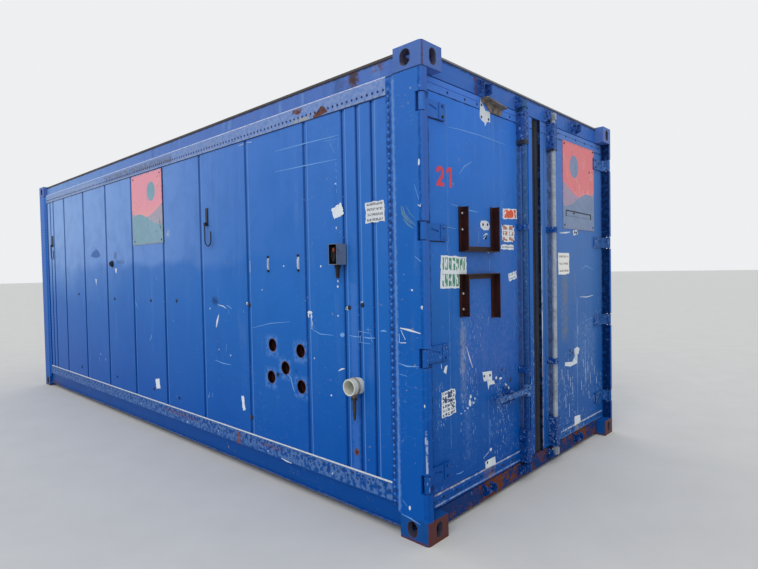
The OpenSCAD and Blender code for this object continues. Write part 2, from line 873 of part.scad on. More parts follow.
// thin seal round the hinge side, the head and the foot of a leaf, on its back
module rim_seal_strips(near_edge) {
    depth = [leaf_back - rim_seal, leaf_back];
    outer = leaf_edge_y - leaf_gap;
    inner = plug_edge_y + plug_gap;
    block([depth[0], inner, leaf_bottom + leaf_gap], [depth[1], outer, leaf_top - leaf_gap]);
    block([depth[0], near_edge, opening_top + leaf_gap], [depth[1], inner - leaf_gap, leaf_top - leaf_gap]);
    block([depth[0], near_edge, leaf_bottom + leaf_gap], [depth[1], inner - leaf_gap, floor_level - leaf_gap]);
}

module left_door_seal() {
    color([0.05, 0.05, 0.06]) {
        centre_seal(left_leaf_edge, seal_left);
        mirror([0, 1, 0]) rim_seal_strips(-left_leaf_edge + leaf_gap);
    }
}

module right_door_seal() {
    color([0.05, 0.05, 0.06]) {
        centre_seal(seal_right, right_leaf_edge);
        rim_seal_strips(right_leaf_edge + leaf_gap);
    }
}

// plan of one blade: knuckle, cranked arm through the pocket, plate with a thick end on the leaf
module blade_outline(reach) {
    plate_front = door_x + blade_thickness;
    end = pin_y - reach;
    translate([pin_x, pin_y]) circle(r = knuckle_radius);
    polygon([
        [pin_x - 14, pin_y + 3], [pin_x - 30, pin_y - 5], [door_x + 1, lip_y],
        [door_x, lip_y - leaf_gap], [door_x, end], [plate_front + pad_rise, end],
        [plate_front + pad_rise, end + blade_pad], [plate_front, end + blade_pad],
        [plate_front, lip_y - leaf_gap - 12], [plate_front + 1, lip_y - 2],
        [pin_x - 27, pin_y - 15], [pin_x - 9, pin_y - 12]
    ]);
}

// the groove falls away from the pin towards the thick end
module blade(reach) {
    difference() {
        linear_extrude(blade_height) blade_outline(reach);
        translate([pin_x, pin_y, -eps]) cylinder(r = pin_radius + pin_clearance, h = blade_height + 2 * eps);
        translate([door_x + blade_thickness, pin_y - reach + blade_groove_place, blade_groove_level])
            rotate([blade_groove_slope, 0, 0])
            cube([2 * blade_groove_depth, blade_groove_length, blade_groove_width], center = true);
    }
}

module blades(reach) {
    for (i = [0:3]) {
        translate([0, 0, hinge_foot(i)]) blade(reach);
    }
}

module left_hinge_blades() {
    color([0.17, 0.33, 0.68]) mirror([0, 1, 0]) blades(left_blade_reach);
}

module right_hinge_blades() {
    color([0.17, 0.33, 0.68]) blades(right_blade_reach);
}

// long housing with rounded front corners and the rod bore through it
module guide_housing(centre, foot, high) {
    half = guide_width / 2;
    difference() {
        translate([0, centre, foot]) linear_extrude(high) difference() {
            translate([door_x, -half]) square([guide_front - door_x, guide_width]);
            corner_waste(guide_front, half, guide_rounding);
            mirror([0, 1]) corner_waste(guide_front, half, guide_rounding);
        }
        translate([rod_x, centre, foot - eps]) cylinder(r = rod_radius + rod_clearance, h = high + 2 * eps);
    }
}

// short strap bowed over the rod with two feet on the leaf
module guide_strap(centre, foot) {
    bow = rod_radius + strap_wall;
    difference() {
        translate([0, centre, foot]) linear_extrude(strap_height) {
            translate([rod_x, 0]) circle(r = bow);
            translate([door_x, -bow]) square([rod_standoff, 2 * bow]);
            translate([door_x, -bow - 18]) square([6, 2 * bow + 36]);
        }
        translate([rod_x, centre, foot - eps])
            cylinder(r = rod_radius + rod_clearance, h = strap_height + 2 * eps);
    }
}

module rod_guides(centre, upper_height) {
    guide_housing(centre, leaf_top - guide_end_gap - upper_height, upper_height);
    guide_strap(centre, upper_strap);
    guide_strap(centre, lower_strap);
    guide_housing(centre, leaf_bottom + guide_end_gap, lower_guide_height);
}

module left_rod_guides() {
    color([0.15, 0.29, 0.60]) rod_guides(left_rod, left_upper_guide_height);
}

module right_rod_guides() {
    color([0.15, 0.29, 0.60]) rod_guides(right_rod, right_upper_guide_height);
}

// disc with a flat side and a nose that locks behind the keeper
module cam() {
    linear_extrude(cam_height) difference() {
        union() {
            circle(r = cam_radius - 6);
            translate([-cam_radius * 0.55, 0]) square([cam_radius * 1.1, cam_radius * 0.8]);
            intersection() {
                circle(r = cam_radius);
                translate([-cam_radius * 0.6, -cam_radius]) square([cam_radius * 1.2, cam_radius]);
            }
        }
        translate([cam_radius * 0.45, cam_radius * 0.45]) circle(r = cam_radius * 0.22);
    }
}

module lock_rod() {
    foot = cam_foot - rod_stub;
    translate([0, 0, foot]) cylinder(r = rod_radius, h = cam_head_foot + cam_height + rod_stub - foot);
    translate([0, 0, cam_foot]) cam();
    translate([0, 0, cam_head_foot]) cam();
}

module left_lock_rod() {
    color([0.16, 0.24, 0.44]) translate([rod_x, left_rod, 0]) lock_rod();
}

module right_lock_rod() {
    color([0.60, 0.63, 0.66]) translate([rod_x, right_rod, 0]) mirror([0, 1, 0]) lock_rod();
}

// hub on the rod and a flat bar with a rounded end
module left_lock_handle() {
    bar_foot = handle_level - handle_height / 2;
    hub_foot = handle_level - hub_height / 2;
    color([0.35, 0.38, 0.45]) difference() {
        union() {
            translate([rod_x, left_rod, hub_foot]) cylinder(r = rod_radius + hub_wall, h = hub_height);
            block([rod_x + handle_offset, left_rod - handle_length + handle_height / 2, bar_foot],
                [rod_x + handle_offset + handle_thickness, left_rod, bar_foot + handle_height]);
            translate([rod_x + handle_offset, left_rod - handle_length + handle_height / 2, handle_level])
                rotate([0, 90, 0]) cylinder(d = handle_height, h = handle_thickness);
        }
        translate([rod_x, left_rod, hub_foot - eps]) cylinder(r = rod_radius, h = hub_height + 2 * eps);
    }
}

// fork that the handle drops into, open to the front
module handle_catch() {
    half = handle_height / 2 + catch_gap;
    middle = left_rod - catch_from_rod;
    front = rod_x + handle_offset + handle_thickness;
    color([0.45, 0.47, 0.55]) translate([0, middle - catch_width / 2, handle_level])
        along_y(0, catch_width) polygon([
            [door_x, -half - catch_jaw - 20], [door_x + 6, -half - catch_jaw - 20],
            [door_x + 6, -half - catch_jaw], [front, -half - catch_jaw], [front, -half],
            [rod_x + handle_offset - catch_gap, -half], [rod_x + handle_offset - catch_gap, half],
            [front, half], [front - 6, half + catch_jaw], [door_x + 6, half + catch_jaw],
            [door_x + 6, half + catch_jaw + 20], [door_x, half + catch_jaw + 20]
        ]);
}

// steel angle standing on the leaf, its outstanding leg on the +Y side
module upright_angle(y, foot, head) {
    block([door_x, y, foot], [door_x + angle_thickness, y + angle_leg, head]);
    block([door_x, y + angle_leg - angle_thickness, foot], [door_x + angle_leg, y + angle_leg, head]);
}

// two uprights joined by a bar of angle; left and right each hold a foot and a head height
module rack(left, right, bar_foot, shelf_foot) {
    low = rack_middle - rack_width / 2;
    upright_angle(low, left[0], left[1]);
    upright_angle(low + rack_width - angle_leg, right[0], right[1]);
    block([door_x, low, bar_foot], [door_x + angle_thickness, low + rack_width, bar_foot + rack_bar]);
    block([door_x, low, shelf_foot], [door_x + angle_leg, low + rack_width, shelf_foot + angle_thickness]);
}

module angle_racks() {
    upper_head = upper_rack + rack_height;
    lower_head = lower_rack + rack_height;
    color([0.14, 0.08, 0.06]) {
        rack([upper_rack, upper_head - upper_rack_cut], [upper_rack, upper_head], upper_rack, upper_rack);
        rack([lower_rack + lower_rack_cut, lower_head], [lower_rack, lower_head],
            lower_head - rack_bar, lower_head - angle_thickness);
    }
}

// torn plate on the leaf with a sagging lip folded out of it
module bent_bracket() {
    head = leaf_top - bracket_gap;
    color([0.30, 0.24, 0.20]) translate([door_x, bracket_place, head]) union() {
        along_x(0, bracket_plate) polygon([
            [0, -0.3 * bracket_drop], [10, 0], [bracket_length - 5, 0],
            [bracket_length, -0.75 * bracket_drop], [bracket_length - 20, -bracket_drop],
            [0.45 * bracket_length, -bracket_drop], [0.2 * bracket_length, -0.4 * bracket_drop]
        ]);
        translate([bracket_plate / 2, 0, -bracket_plate / 2]) rotate([-bracket_sag, 0, 0])
            cube([bracket_reach - bracket_plate / 2, bracket_length, bracket_plate]);
    }
}

module junction_box() {
    back = -skin_y;
    front = back - box_depth;
    low = box_middle - box_width / 2;
    high = box_middle + box_width / 2;
    color([0.42, 0.46, 0.52]) difference() {
        block([low, front, box_foot], [high, back, box_foot + box_height]);
        block([low + box_wall, front - eps, box_foot + box_wall],
            [high - box_wall, back - box_wall, box_foot + box_height - box_wall]);
    }
}

// nut, tapered body and ribbed tail below the box
module cable_gland() {
    color([0.10, 0.10, 0.10]) translate([box_middle, -skin_y - box_depth / 2, box_foot - gland_length])
        rotate_extrude() polygon([
            [0, 0], [gland_radius - 3, 0], [gland_radius - 1, 6], [gland_radius - 3, 12],
            [gland_radius, 18], [gland_radius - 2, 24], [gland_radius, 30], [gland_radius, gland_length - 22],
            [gland_radius + 5, gland_length - 18], [gland_radius + 5, gland_length], [0, gland_length]
        ]);
}

// flat plate with a round bar hook that bows towards the doors, from the bow's underside up
module wall_hook() {
    bow_centre = hook_bow + hook_radius;
    shank_top = bow_centre + hook_shank;
    plate_foot = shank_top - hook_overlap;
    color([0.10, 0.12, 0.16]) {
        block([-hook_plate_width / 2, 0, plate_foot],
            [hook_plate_width / 2, hook_plate, shank_top + hook_plate_rise]);
        block([-hook_arm_width / 2, 0, plate_foot], [hook_arm_width / 2, hook_standoff + hook_radius, shank_top]);
        translate([0, hook_standoff, bow_centre]) {
            cylinder(r = hook_radius, h = shank_top - bow_centre);
            translate([2 * hook_bow, 0, 0]) cylinder(r = hook_radius, h = hook_tip);
            translate([hook_bow, 0, 0]) rotate([90, 0, 0]) rotate([0, 0, 180])
                rotate_extrude(angle = 180) translate([hook_bow, 0]) circle(r = hook_radius);
        }
    }
}

module wall_hooks() {
    for (x = [near_hook, far_hook]) {
        translate([x, -skin_y, hook_level]) mirror([0, 1, 0]) wall_hook();
    }
}

module drain_pipe() {
    length = wall_thickness + pipe_reach;
    color([0.85, 0.86, 0.84]) translate([pipe_place, -room_y, pipe_level]) rotate([90, 0, 0]) difference() {
        cylinder(r = pipe_radius, h = length);
        translate([0, 0, -eps]) cylinder(r = pipe_radius - pipe_wall, h = length + 2 * eps);
    }
}

// band round the pipe with a knot and a loose pointed tongue below
module pipe_clamp() {
    middle = -skin_y - pipe_reach / 2;
    foot = pipe_level - pipe_radius - 28;
    color([0.08, 0.08, 0.08]) {
        translate([pipe_place, middle + clamp_width / 2, pipe_level]) rotate([90, 0, 0]) difference() {
            cylinder(r = pipe_radius + clamp_thickness, h = clamp_width);
            translate([0, 0, -eps]) cylinder(r = pipe_radius, h = clamp_width + 2 * eps);
        }
        block([pipe_place - 8, middle - 12, foot], [pipe_place + 16, middle + 12, pipe_level - pipe_radius - 1]);
        translate([pipe_place + 4, middle, foot]) along_y(-4, 4) polygon([
            [-10, 2], [10, 2], [11, -tongue_length * 0.5], [4, -tongue_length], [-3, -tongue_length],
            [-11, -tongue_length * 0.45]
        ]);
    }
}

// short threaded stub with a collar on the wall
module pipe_coupling() {
    place = [first_joint + coupling_place, -skin_y, coupling_level];
    color([0.20, 0.22, 0.25]) translate(place) rotate([90, 0, 0]) difference() {
        union() {
            cylinder(r = coupling_radius, h = coupling_reach);
            cylinder(r = coupling_radius + coupling_collar, h = coupling_reach / 3);
        }
        translate([0, 0, coupling_reach / 3]) cylinder(r = coupling_radius - coupling_wall, h = coupling_reach);
    }
}

module side_placard() {
    head = upper_band_foot - placard_gap;
    color([0.93, 0.55, 0.60]) block([placard_left, -skin_y - placard_thickness, head - placard_height],
        [placard_left + placard_width, -skin_y, head]);
}

// sheet with a corner cut around the top hinge blade
module door_placard() {
    head = leaf_top - door_placard_drop;
    edge = door_placard_edge + door_placard_width;
    cut_foot = hinge_foot(3) - placard_cut_gap;
    color([0.93, 0.58, 0.62]) difference() {
        block([door_x, door_placard_edge, head - door_placard_height], [door_x + placard_thickness, edge, head]);
        block([door_x - eps, pin_y - right_blade_reach - placard_cut_gap, cut_foot],
            [door_x + placard_thickness + eps, edge + eps, cut_foot + blade_height + 2 * placard_cut_gap]);
    }
}

// slim bowed pulls flat on the wall
module wall_latches() {
    color([0.88, 0.90, 0.92]) for (place = [first_latch_place, second_latch_place]) {
        translate([panel_left + place, -skin_y, latch_level]) rotate([90, 0, 0]) {
            linear_extrude(3) rotate(90) slot_outline(latch_height, latch_width);
            linear_extrude(9) square([latch_width / 2, latch_height - 2 * latch_width], center = true);
        }
    }
}

bottom_corner_fittings();
top_corner_fittings();
door_end_posts();
closed_end_posts();
door_header();
door_sill();
closed_end_rails();
top_side_rails();
bottom_side_rails();
roof_panel();
roof_lining();
left_wall();
hose_panel();
left_wall_end_panel();
right_wall();
end_wall();
floor_deck();
floor_crossmembers();
hinge_pins();
cam_keepers();
junction_box();
cable_gland();
wall_hooks();
drain_pipe();
pipe_clamp();
pipe_coupling();
side_placard();
wall_latches();
left_door_leaf();
left_door_seal();
left_hinge_blades();
left_rod_guides();
angle_racks();
bent_bracket();
handle_catch();
right_door_leaf();
right_door_seal();
right_hinge_blades();
right_rod_guides();
door_placard();
left_lock_rod();
left_lock_handle();
right_lock_rod();
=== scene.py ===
"""Looks of an insulated 20 foot container cabin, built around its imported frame.

X runs along the length with the doors at +X, Y across the width, Z up. Materials work in metres,
and the places of the small pieces are given in millimetres.
"""

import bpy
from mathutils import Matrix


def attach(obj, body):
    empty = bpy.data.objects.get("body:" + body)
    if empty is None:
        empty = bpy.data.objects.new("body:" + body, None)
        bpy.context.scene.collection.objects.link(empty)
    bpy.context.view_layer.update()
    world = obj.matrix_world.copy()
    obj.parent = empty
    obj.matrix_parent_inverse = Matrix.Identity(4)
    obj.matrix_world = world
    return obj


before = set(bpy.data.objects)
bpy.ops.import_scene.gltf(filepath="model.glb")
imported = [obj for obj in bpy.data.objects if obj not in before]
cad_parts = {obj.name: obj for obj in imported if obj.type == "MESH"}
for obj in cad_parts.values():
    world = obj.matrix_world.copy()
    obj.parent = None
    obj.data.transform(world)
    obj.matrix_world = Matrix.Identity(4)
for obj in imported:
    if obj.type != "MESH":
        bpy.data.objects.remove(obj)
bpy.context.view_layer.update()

import logging
import math
import random
from dataclasses import dataclass
from enum import Enum
from typing import Callable, Sequence, TypeAlias

import bmesh
import bpy
from mathutils import Matrix, Vector

log = logging.getLogger("cabin")
MM = 0.001
BUMP_STRENGTH = 0.7

Colour = tuple[float, float, float]
Point = tuple[float, float, float]
Spot = tuple[float, float]
Stops = Sequence[tuple[float, Colour]]
Piece = bpy.types.Object
Material = bpy.types.Material
Value: TypeAlias = "Signal | float"


def srgb(red: int, green: int, blue: int) -> Colour:
    """A screen colour as linear light.

    Args:
        red: screen red, 0 to 255.
        green: screen green, 0 to 255.
        blue: screen blue, 0 to 255.

    Returns:
        The three linear values.
    """
    parts = [value / 255.0 for value in (red, green, blue)]
    return tuple(p / 12.92 if p <= 0.04045 else ((p + 0.055) / 1.055) ** 2.4 for p in parts)


class Body(Enum):
    """The bodies of the frame that carry added pieces."""

    CABIN = "cabin"
    LEFT_DOOR = "left_door"
    RIGHT_DOOR = "right_door"


class Facing(Enum):
    """The way a surface looks outwards."""

    LEFT = "minus_y"
    RIGHT = "plus_y"
    DOORS = "plus_x"

    def turn(self) -> Matrix:
        """The rotation that takes a piece drawn flat, facing +Z with its top at +Y, to this side.

        Returns:
            A 4 x 4 rotation.
        """
        columns = {
            Facing.LEFT: ((1, 0, 0), (0, 0, 1), (0, -1, 0)),
            Facing.RIGHT: ((-1, 0, 0), (0, 0, 1), (0, 1, 0)),
            Facing.DOORS: ((0, 1, 0), (0, 0, 1), (1, 0, 0)),
        }[self]
        return Matrix(columns).transposed().to_4x4()


# Shader graphs


class Signal:
    """A shader value that takes part in Python arithmetic."""

    def __init__(self, graph: "Nodes", socket: bpy.types.NodeSocket) -> None:
        """Keeps the graph and the socket."""
        self.graph = graph
        self.socket = socket

    def __add__(self, other: Value) -> "Signal":
        """Sum."""
        return self.graph.math("ADD", self, other)

    def __sub__(self, other: Value) -> "Signal":
        """Difference."""
        return self.graph.math("SUBTRACT", self, other)

    def __rsub__(self, other: float) -> "Signal":
        """Difference from a number."""
        return self.graph.math("SUBTRACT", other, self)

    def __mul__(self, other: Value) -> "Signal":
        """Product."""
        return self.graph.math("MULTIPLY", self, other)

    def __truediv__(self, other: Value) -> "Signal":
        """Quotient."""
        return self.graph.math("DIVIDE", self, other)

    def __abs__(self) -> "Signal":
        """Absolute value."""
        return self.graph.math("ABSOLUTE", self, 0.0)

    __radd__ = __add__
    __rmul__ = __mul__

    def wrap(self, pitch: float) -> "Signal":
        """Distance to the nearest multiple of a pitch.

        Args:
            pitch: spacing of the multiples.

        Returns:
            The distance, from 0 to half the pitch.
        """
        return self.graph.math("PINGPONG", self, pitch / 2)

    def rise(self, low: float, high: float) -> "Signal":
        """A soft step from 0 at low to 1 at high.

        Args:
            low: where the step starts.
            high: where it ends, below low for a falling step.

        Returns:
            The step, from 0 to 1.
        """
        made = self.graph.node(
            "ShaderNodeMapRange", {"interpolation_type": "SMOOTHSTEP", "clamp": True},
            {"Value": self, "From Min": low, "From Max": high},
        )
        return Signal(self.graph, made.outputs["Result"])


class Nodes:
    """A node graph, with the one method that adds its nodes."""

    def __init__(self, tree: bpy.types.NodeTree) -> None:
        """Empties the tree.

        Args:
            tree: the tree to fill.
        """
        self.tree = tree
        self.tree.nodes.clear()

    def node(self, kind: str, settings: dict, inputs: dict) -> bpy.types.Node:
        """Adds a node, with its settings first and then the values or links of its sockets.

        Args:
            kind: the node's type.
            settings: attributes to set; "stops" fills a colour ramp.
            inputs: socket name or number to a value, a Signal or a socket.

        Returns:
            The node.
        """
        made = self.tree.nodes.new(kind)
        for key, value in settings.items():
            if key == "stops":
                ramp = made.color_ramp
                while len(ramp.elements) < len(value):
                    ramp.elements.new(1.0)
                for element, (place, colour) in zip(ramp.elements, value):
                    element.position = place
                    element.color = (*colour, 1.0)
            else:
                setattr(made, key, value)
        for key, value in inputs.items():
            target = made.inputs[key]
            if isinstance(value, Signal):
                self.tree.links.new(value.socket, target)
            elif isinstance(value, bpy.types.NodeSocket):
                self.tree.links.new(value, target)
            elif isinstance(value, tuple) and target.type == "RGBA":
                target.default_value = (*value, 1.0)
            else:
                target.default_value = value
        return made

    def math(self, operation: str, first: Value, second: Value) -> Signal:
        """One Math node.

        Args:
            operation: the node's operation.
            first: first value.
            second: second value.

        Returns:
            The result.
        """
        return Signal(self, self.node("ShaderNodeMath", {"operation": operation}, {0: first, 1: second}).outputs[0])


class Graph(Nodes):
    """The node graph of one material."""

    def __init__(self, name: str) -> None:
        """Makes the material with an empty graph.

        Args:
            name: the material's name.
        """
        self.material = bpy.data.materials.new(name)
        self.material.use_nodes = True
        super().__init__(self.material.node_tree)
        self.coordinates = self.node("ShaderNodeTexCoord", {}, {})

    def place(self) -> Signal:
        """The point on the piece, in metres in the frame."""
        return Signal(self, self.coordinates.outputs["Object"])

    def print_place(self) -> Signal:
        """The point on a printed piece's own map, from 0 to 1 each way."""
        return Signal(self, self.coordinates.outputs["UV"])

    def split(self, vector: Signal) -> tuple[Signal, Signal, Signal]:
        """The three parts of a vector.

        Args:
            vector: the vector to split.

        Returns:
            Its X, Y and Z.
        """
        made = self.node("ShaderNodeSeparateXYZ", {}, {0: vector})
        return tuple(Signal(self, made.outputs[i]) for i in range(3))

    def stretch(self, vector: Signal, scale: Point, shift: Point = (0, 0, 0)) -> Signal:
        """A scaled and shifted copy of a vector.

        Args:
            vector: the vector.
            scale: factor for each axis.
            shift: amount added for each axis.

        Returns:
            The mapped vector.
        """
        made = self.node("ShaderNodeMapping", {}, {"Vector": vector, "Scale": scale, "Location": shift})
        return Signal(self, made.outputs[0])

    def noise(self, vector: Signal, scale: float, detail: float = 4.0, warp: float = 0.0) -> Signal:
        """Cloudy noise about 0.5.

        Args:
            vector: where to read it.
            scale: size of its features, in features for each metre.
            detail: number of finer layers.
            warp: how far it is bent.

        Returns:
            The value.
        """
        made = self.node(
            "ShaderNodeTexNoise", {"noise_dimensions": "3D"},
            {"Vector": vector, "Scale": scale, "Detail": detail, "Roughness": 0.6, "Distortion": warp},
        )
        return Signal(self, made.outputs[0])

    def ramp(self, value: Signal, stops: Stops) -> Signal:
        """Colours by value.

        Args:
            value: where on the ramp.
            stops: pairs of place and colour.

        Returns:
            The colour.
        """
        return Signal(self, self.node("ShaderNodeValToRGB", {"stops": stops}, {0: value}).outputs[0])

    def mix(self, mask: Value, under: "Signal | Colour", over: "Signal | Colour") -> Signal:
        """One colour laid over another.

        Args:
            mask: 0 for the lower colour, 1 for the upper.
            under: the lower colour.
            over: the upper colour.

        Returns:
            The mixed colour.
        """
        made = self.node("ShaderNodeMix", {"data_type": "RGBA", "clamp_factor": True}, {0: mask, 6: under, 7: over})
        return Signal(self, made.outputs[2])

    def surface(self, inputs: dict, height: "Signal | None" = None, depth: float = 0.002) -> Material:
        """Ends the graph in a shader.

        Args:
            inputs: the shader's sockets.
            height: bump height, if any.
            depth: how far the bump stands, in metres.

        Returns:
            The finished material.
        """
        if height is not None:
            bump = self.node("ShaderNodeBump", {}, {"Height": height, "Distance": depth, "Strength": BUMP_STRENGTH})
            inputs = {**inputs, "Normal": bump.outputs[0]}
        shader = self.node("ShaderNodeBsdfPrincipled", {}, inputs)
        self.node("ShaderNodeOutputMaterial", {}, {0: shader.outputs[0]})
        return self.material


# Finishes


FAR = 9.0
CABIN_HEIGHT = 2.438
LEAF_DEPTH: Spot = (2.95, 2.9635)
HOSE_HOLES: tuple[Spot, ...] = ((1773, 882), (2057, 869), (1904, 749), (1754, 674), (2059, 651))


@dataclass(frozen=True)
class Smear:
    """A soft-edged stain or bare patch in a box of the frame; an axis from -FAR to FAR has no edge."""

    low: Point
    high: Point
    colour: Colour
    strength: float = 0.8
    soft: float = 0.012
    mottled: bool = False

    def mask(self, graph: Graph, place: Signal, wobble: Signal) -> Signal:
        """How much of the patch shows at each point.

        Args:
            graph: the material's graph.
            place: the point.
            wobble: noise that frays the patch's edge.

        Returns:
            The mask, from 0 to 1.
        """
        total: Value = self.strength
        for axis, value in enumerate(graph.split(place)):
            if self.high[axis] >= FAR:
                continue
            centre = (self.low[axis] + self.high[axis]) / 2
            half = (self.high[axis] - self.low[axis]) / 2
            edge = abs(value - centre) + (wobble - 0.5) * (self.soft * 4)
            total = edge.rise(half + self.soft, half - self.soft) * total
        if self.mottled:
            total = wobble.rise(0.42, 0.56) * total
        return total


def on_leaf(low: Spot, high: Spot, *look: "Colour | float | bool") -> Smear:
    """A smear on the outer face of the doors and the header.

    Args:
        low: its lowest Y and Z, in metres.
        high: its highest Y and Z, in metres.
        look: colour, strength, softness and mottling, as the smear takes them.

    Returns:
        The smear.
    """
    return Smear((LEAF_DEPTH[0], *low), (LEAF_DEPTH[1], *high), *look)


def all_round(levels: Spot, *look: "Colour | float | bool") -> Smear:
    """A smear that runs round the whole cabin between two heights.

    Args:
        levels: lowest and highest Z, in metres.
        look: colour, strength, softness and mottling, as the smear takes them.

    Returns:
        The smear.
    """
    return Smear((-FAR, -FAR, levels[0]), (FAR, FAR, levels[1]), *look)


@dataclass(frozen=True)
class Grooves:
    """A row of pressed grooves across the walls, with painted shade along one flank of each groove and a painted
    highlight beside it.
    """

    first: float
    pitch: float
    low: float
    high: float
    # painted shade line in each groove, then the painted highlight line beside it: place, half width and strength
    shade_flank: float = -0.013
    shade_half: float = 0.0085
    shade: float = 0.58
    highlight_flank: float = 0.018
    highlight_half: float = 0.0065
    light: float = 0.45

    def line(self, x: Signal, flank: float, half: float) -> Signal:
        """A soft line beside every groove.

        Args:
            x: the place along the cabin.
            flank: distance of the line from the groove's middle.
            half: half the line's width.

        Returns:
            The mask, from 0 to 1.
        """
        near = (x - (self.first + flank)).wrap(self.pitch).rise(half + 0.003, half - 0.002)
        return near * x.rise(self.low, self.low + 0.001) * x.rise(self.high, self.high - 0.001)


@dataclass(frozen=True)
class EyeRims:
    """Brown, worn metal inside the lifting eyes of the corner fittings."""

    middle_height: float = 1.219
    eye_lift: float = 1.159
    side_eye: float = 2.9275
    end_eye: float = 1.130
    half_run: tuple[float, float] = (0.008, 0.01425)
    radius: tuple[float, float] = (0.03175, 0.0255)

    def mask(self, graph: Graph, place: Signal) -> Signal:
        """Where the rims are worn.

        Args:
            graph: the material's graph.
            place: the point.

        Returns:
            The mask, from 0 to 1.
        """
        x, y, z = graph.split(place)
        lift = abs(abs(z - self.middle_height) - self.eye_lift)
        total: Value = 0.0
        for across, eye, run, radius in (
            (abs(x), self.side_eye, self.half_run[0], self.radius[0]),
            (abs(y), self.end_eye, self.half_run[1], self.radius[1]),
        ):
            over = graph.math("MAXIMUM", lift - run, 0.0)
            gap = graph.math("SQRT", (across - eye) * (across - eye) + over * over, 0.0)
            total = gap.rise(radius + 0.004, radius + 0.0005) + total
        return total


@dataclass(frozen=True)
class WornPaint:
    """Blue paint on steel with runs, chips, flecks, hairline scratches and rust; painted light makes it darker low down
    and lighter high up, and adds an optional sky sheen, horizon reflection and groove shade and highlights.
    """

    name: str
    low: Colour = srgb(4, 84, 172)
    middle: Colour = srgb(34, 106, 190)
    high: Colour = srgb(70, 122, 204)
    far_sheen: float = 0.0
    horizon: float = 0.0
    rust: float = 0.25
    chips: float = 0.35
    chalk: float = 0.3
    grime: float = 0.3
    flecks: float = 0.0
    speckle: float = 0.0
    gloss: float = 0.34
    seed: float = 0.0
    grooves: tuple[Grooves, ...] = ()
    rims: "EyeRims | None" = None
    smears: tuple[Smear, ...] = ()

    def build(self) -> Material:
        """Makes the material.

        Returns:
            The finished material.
        """
        g = Graph(self.name)
        place = g.place()
        moved = g.stretch(place, (1, 1, 1), (self.seed, self.seed * 0.7, self.seed * 0.4))
        x, _, z = g.split(place)
        broad = g.noise(moved, 0.8, 3)
        cloud = g.noise(moved, 5.0, 5, 0.6)
        grain = g.noise(moved, 38.0, 5)
        grit = g.noise(moved, 190.0, 3)
        runs = g.noise(g.stretch(moved, (13, 13, 0.8)), 1.0, 5)
        # colour by height, darker low down and lighter high up: painted shade below and painted sky light above
        level = z / CABIN_HEIGHT + (broad - 0.5) * 0.28
        colour = g.ramp(level, [(0.13, self.low), (0.5, self.middle), (0.96, self.high)])
        # painted sky sheen: lighter towards the far end and higher up
        if self.far_sheen:
            colour = g.mix(x.rise(1.8, -3.2) * level.rise(0.38, 0.8) * self.far_sheen, colour, srgb(136, 178, 232))
        # painted reflection of the horizon: lighter above a wavy line, towards the far end
        if self.horizon:
            wave = g.noise(g.stretch(moved, (0.9, 0.9, 0.9), (0, 0, 3)), 1.0, 3)
            above = (z + (wave - 0.5) * 0.5).rise(self.horizon - 0.03, self.horizon + 0.06)
            colour = g.mix(above * x.rise(2.2, -0.4) * 0.42, colour, srgb(134, 170, 230))
        colour = g.mix((cloud - 0.5) * 0.9 + 0.06, colour, tuple(c * 0.78 for c in self.middle))
        chalk = runs.rise(0.5, 0.78) * cloud.rise(0.35, 0.7) * level.rise(0.0, 0.6) * self.chalk
        colour = g.mix(chalk, colour, srgb(122, 158, 214))
        grime = g.noise(g.stretch(moved, (7, 7, 0.9), (4, 1, 2)), 1.0, 6).rise(0.56, 0.8) * self.grime
        colour = g.mix(grime, colour, srgb(30, 44, 74))
        for row in self.grooves:
            # painted shade in each groove and a painted highlight beside it
            colour = g.mix(row.line(x, row.shade_flank, row.shade_half) * row.shade, colour, srgb(2, 44, 112))
            colour = g.mix(row.line(x, row.highlight_flank, row.highlight_half) * row.light, colour, srgb(122, 168, 230))
        hair = abs(g.noise(g.stretch(moved, (1.4, 1.4, 3.2)), 2.6, 2, 1.5) - 0.5).rise(0.0032, 0.0012)
        colour = g.mix(hair * broad.rise(0.44, 0.66) * 0.7 * self.chips, colour, srgb(140, 172, 214))
        chip = grain.rise(0.665, 0.69) * g.noise(moved, 3.1, 2).rise(0.5, 0.62) * min(1.0, self.chips * 2.2)
        colour = g.mix(chip, colour, g.ramp(grit, [(0.35, srgb(176, 186, 200)), (0.6, srgb(112, 98, 92))]))
        if self.flecks:
            spread = z.rise(1.45, 0.6) * g.noise(g.stretch(moved, (5, 5, 1.6)), 1.0, 3).rise(0.42, 0.6)
            tall = g.noise(g.stretch(moved, (120, 120, 42), (3, 5, 1)), 1.0, 3)
            colour = g.mix(tall.rise(0.61, 0.645) * spread * self.flecks, colour, srgb(168, 194, 224))
        if self.speckle:
            spots = g.noise(moved, 62.0, 3)
            colour = g.mix(spots.rise(0.46, 0.38) * self.speckle, colour, srgb(10, 26, 62))
            colour = g.mix(spots.rise(0.6, 0.66) * self.speckle, colour, srgb(140, 160, 196))
        field = cloud * 0.45 + grain * 0.4 + grit * 0.15
        rust = field.rise(0.72 - 0.2 * self.rust, 0.78 - 0.2 * self.rust)
        colour = g.mix(rust, colour, g.ramp(grit, [
            (0.3, srgb(62, 36, 28)), (0.55, srgb(112, 62, 42)), (0.75, srgb(154, 102, 76))]))
        for smear in self.smears:
            colour = g.mix(smear.mask(g, place, grain), colour, smear.colour)
        if self.rims:
            colour = g.mix(self.rims.mask(g, place) * 0.85, colour, srgb(84, 72, 78))
        rough = runs * 0.16 + (rust + chip) * 0.35 + self.gloss - 0.06
        height = broad * 0.5 + cloud * 0.14 + grain * 0.02 - rust * 0.05 - chip * 0.03
        return g.surface({"Base Color": colour, "Roughness": rough, "Specular IOR Level": 0.07}, height, 0.012)


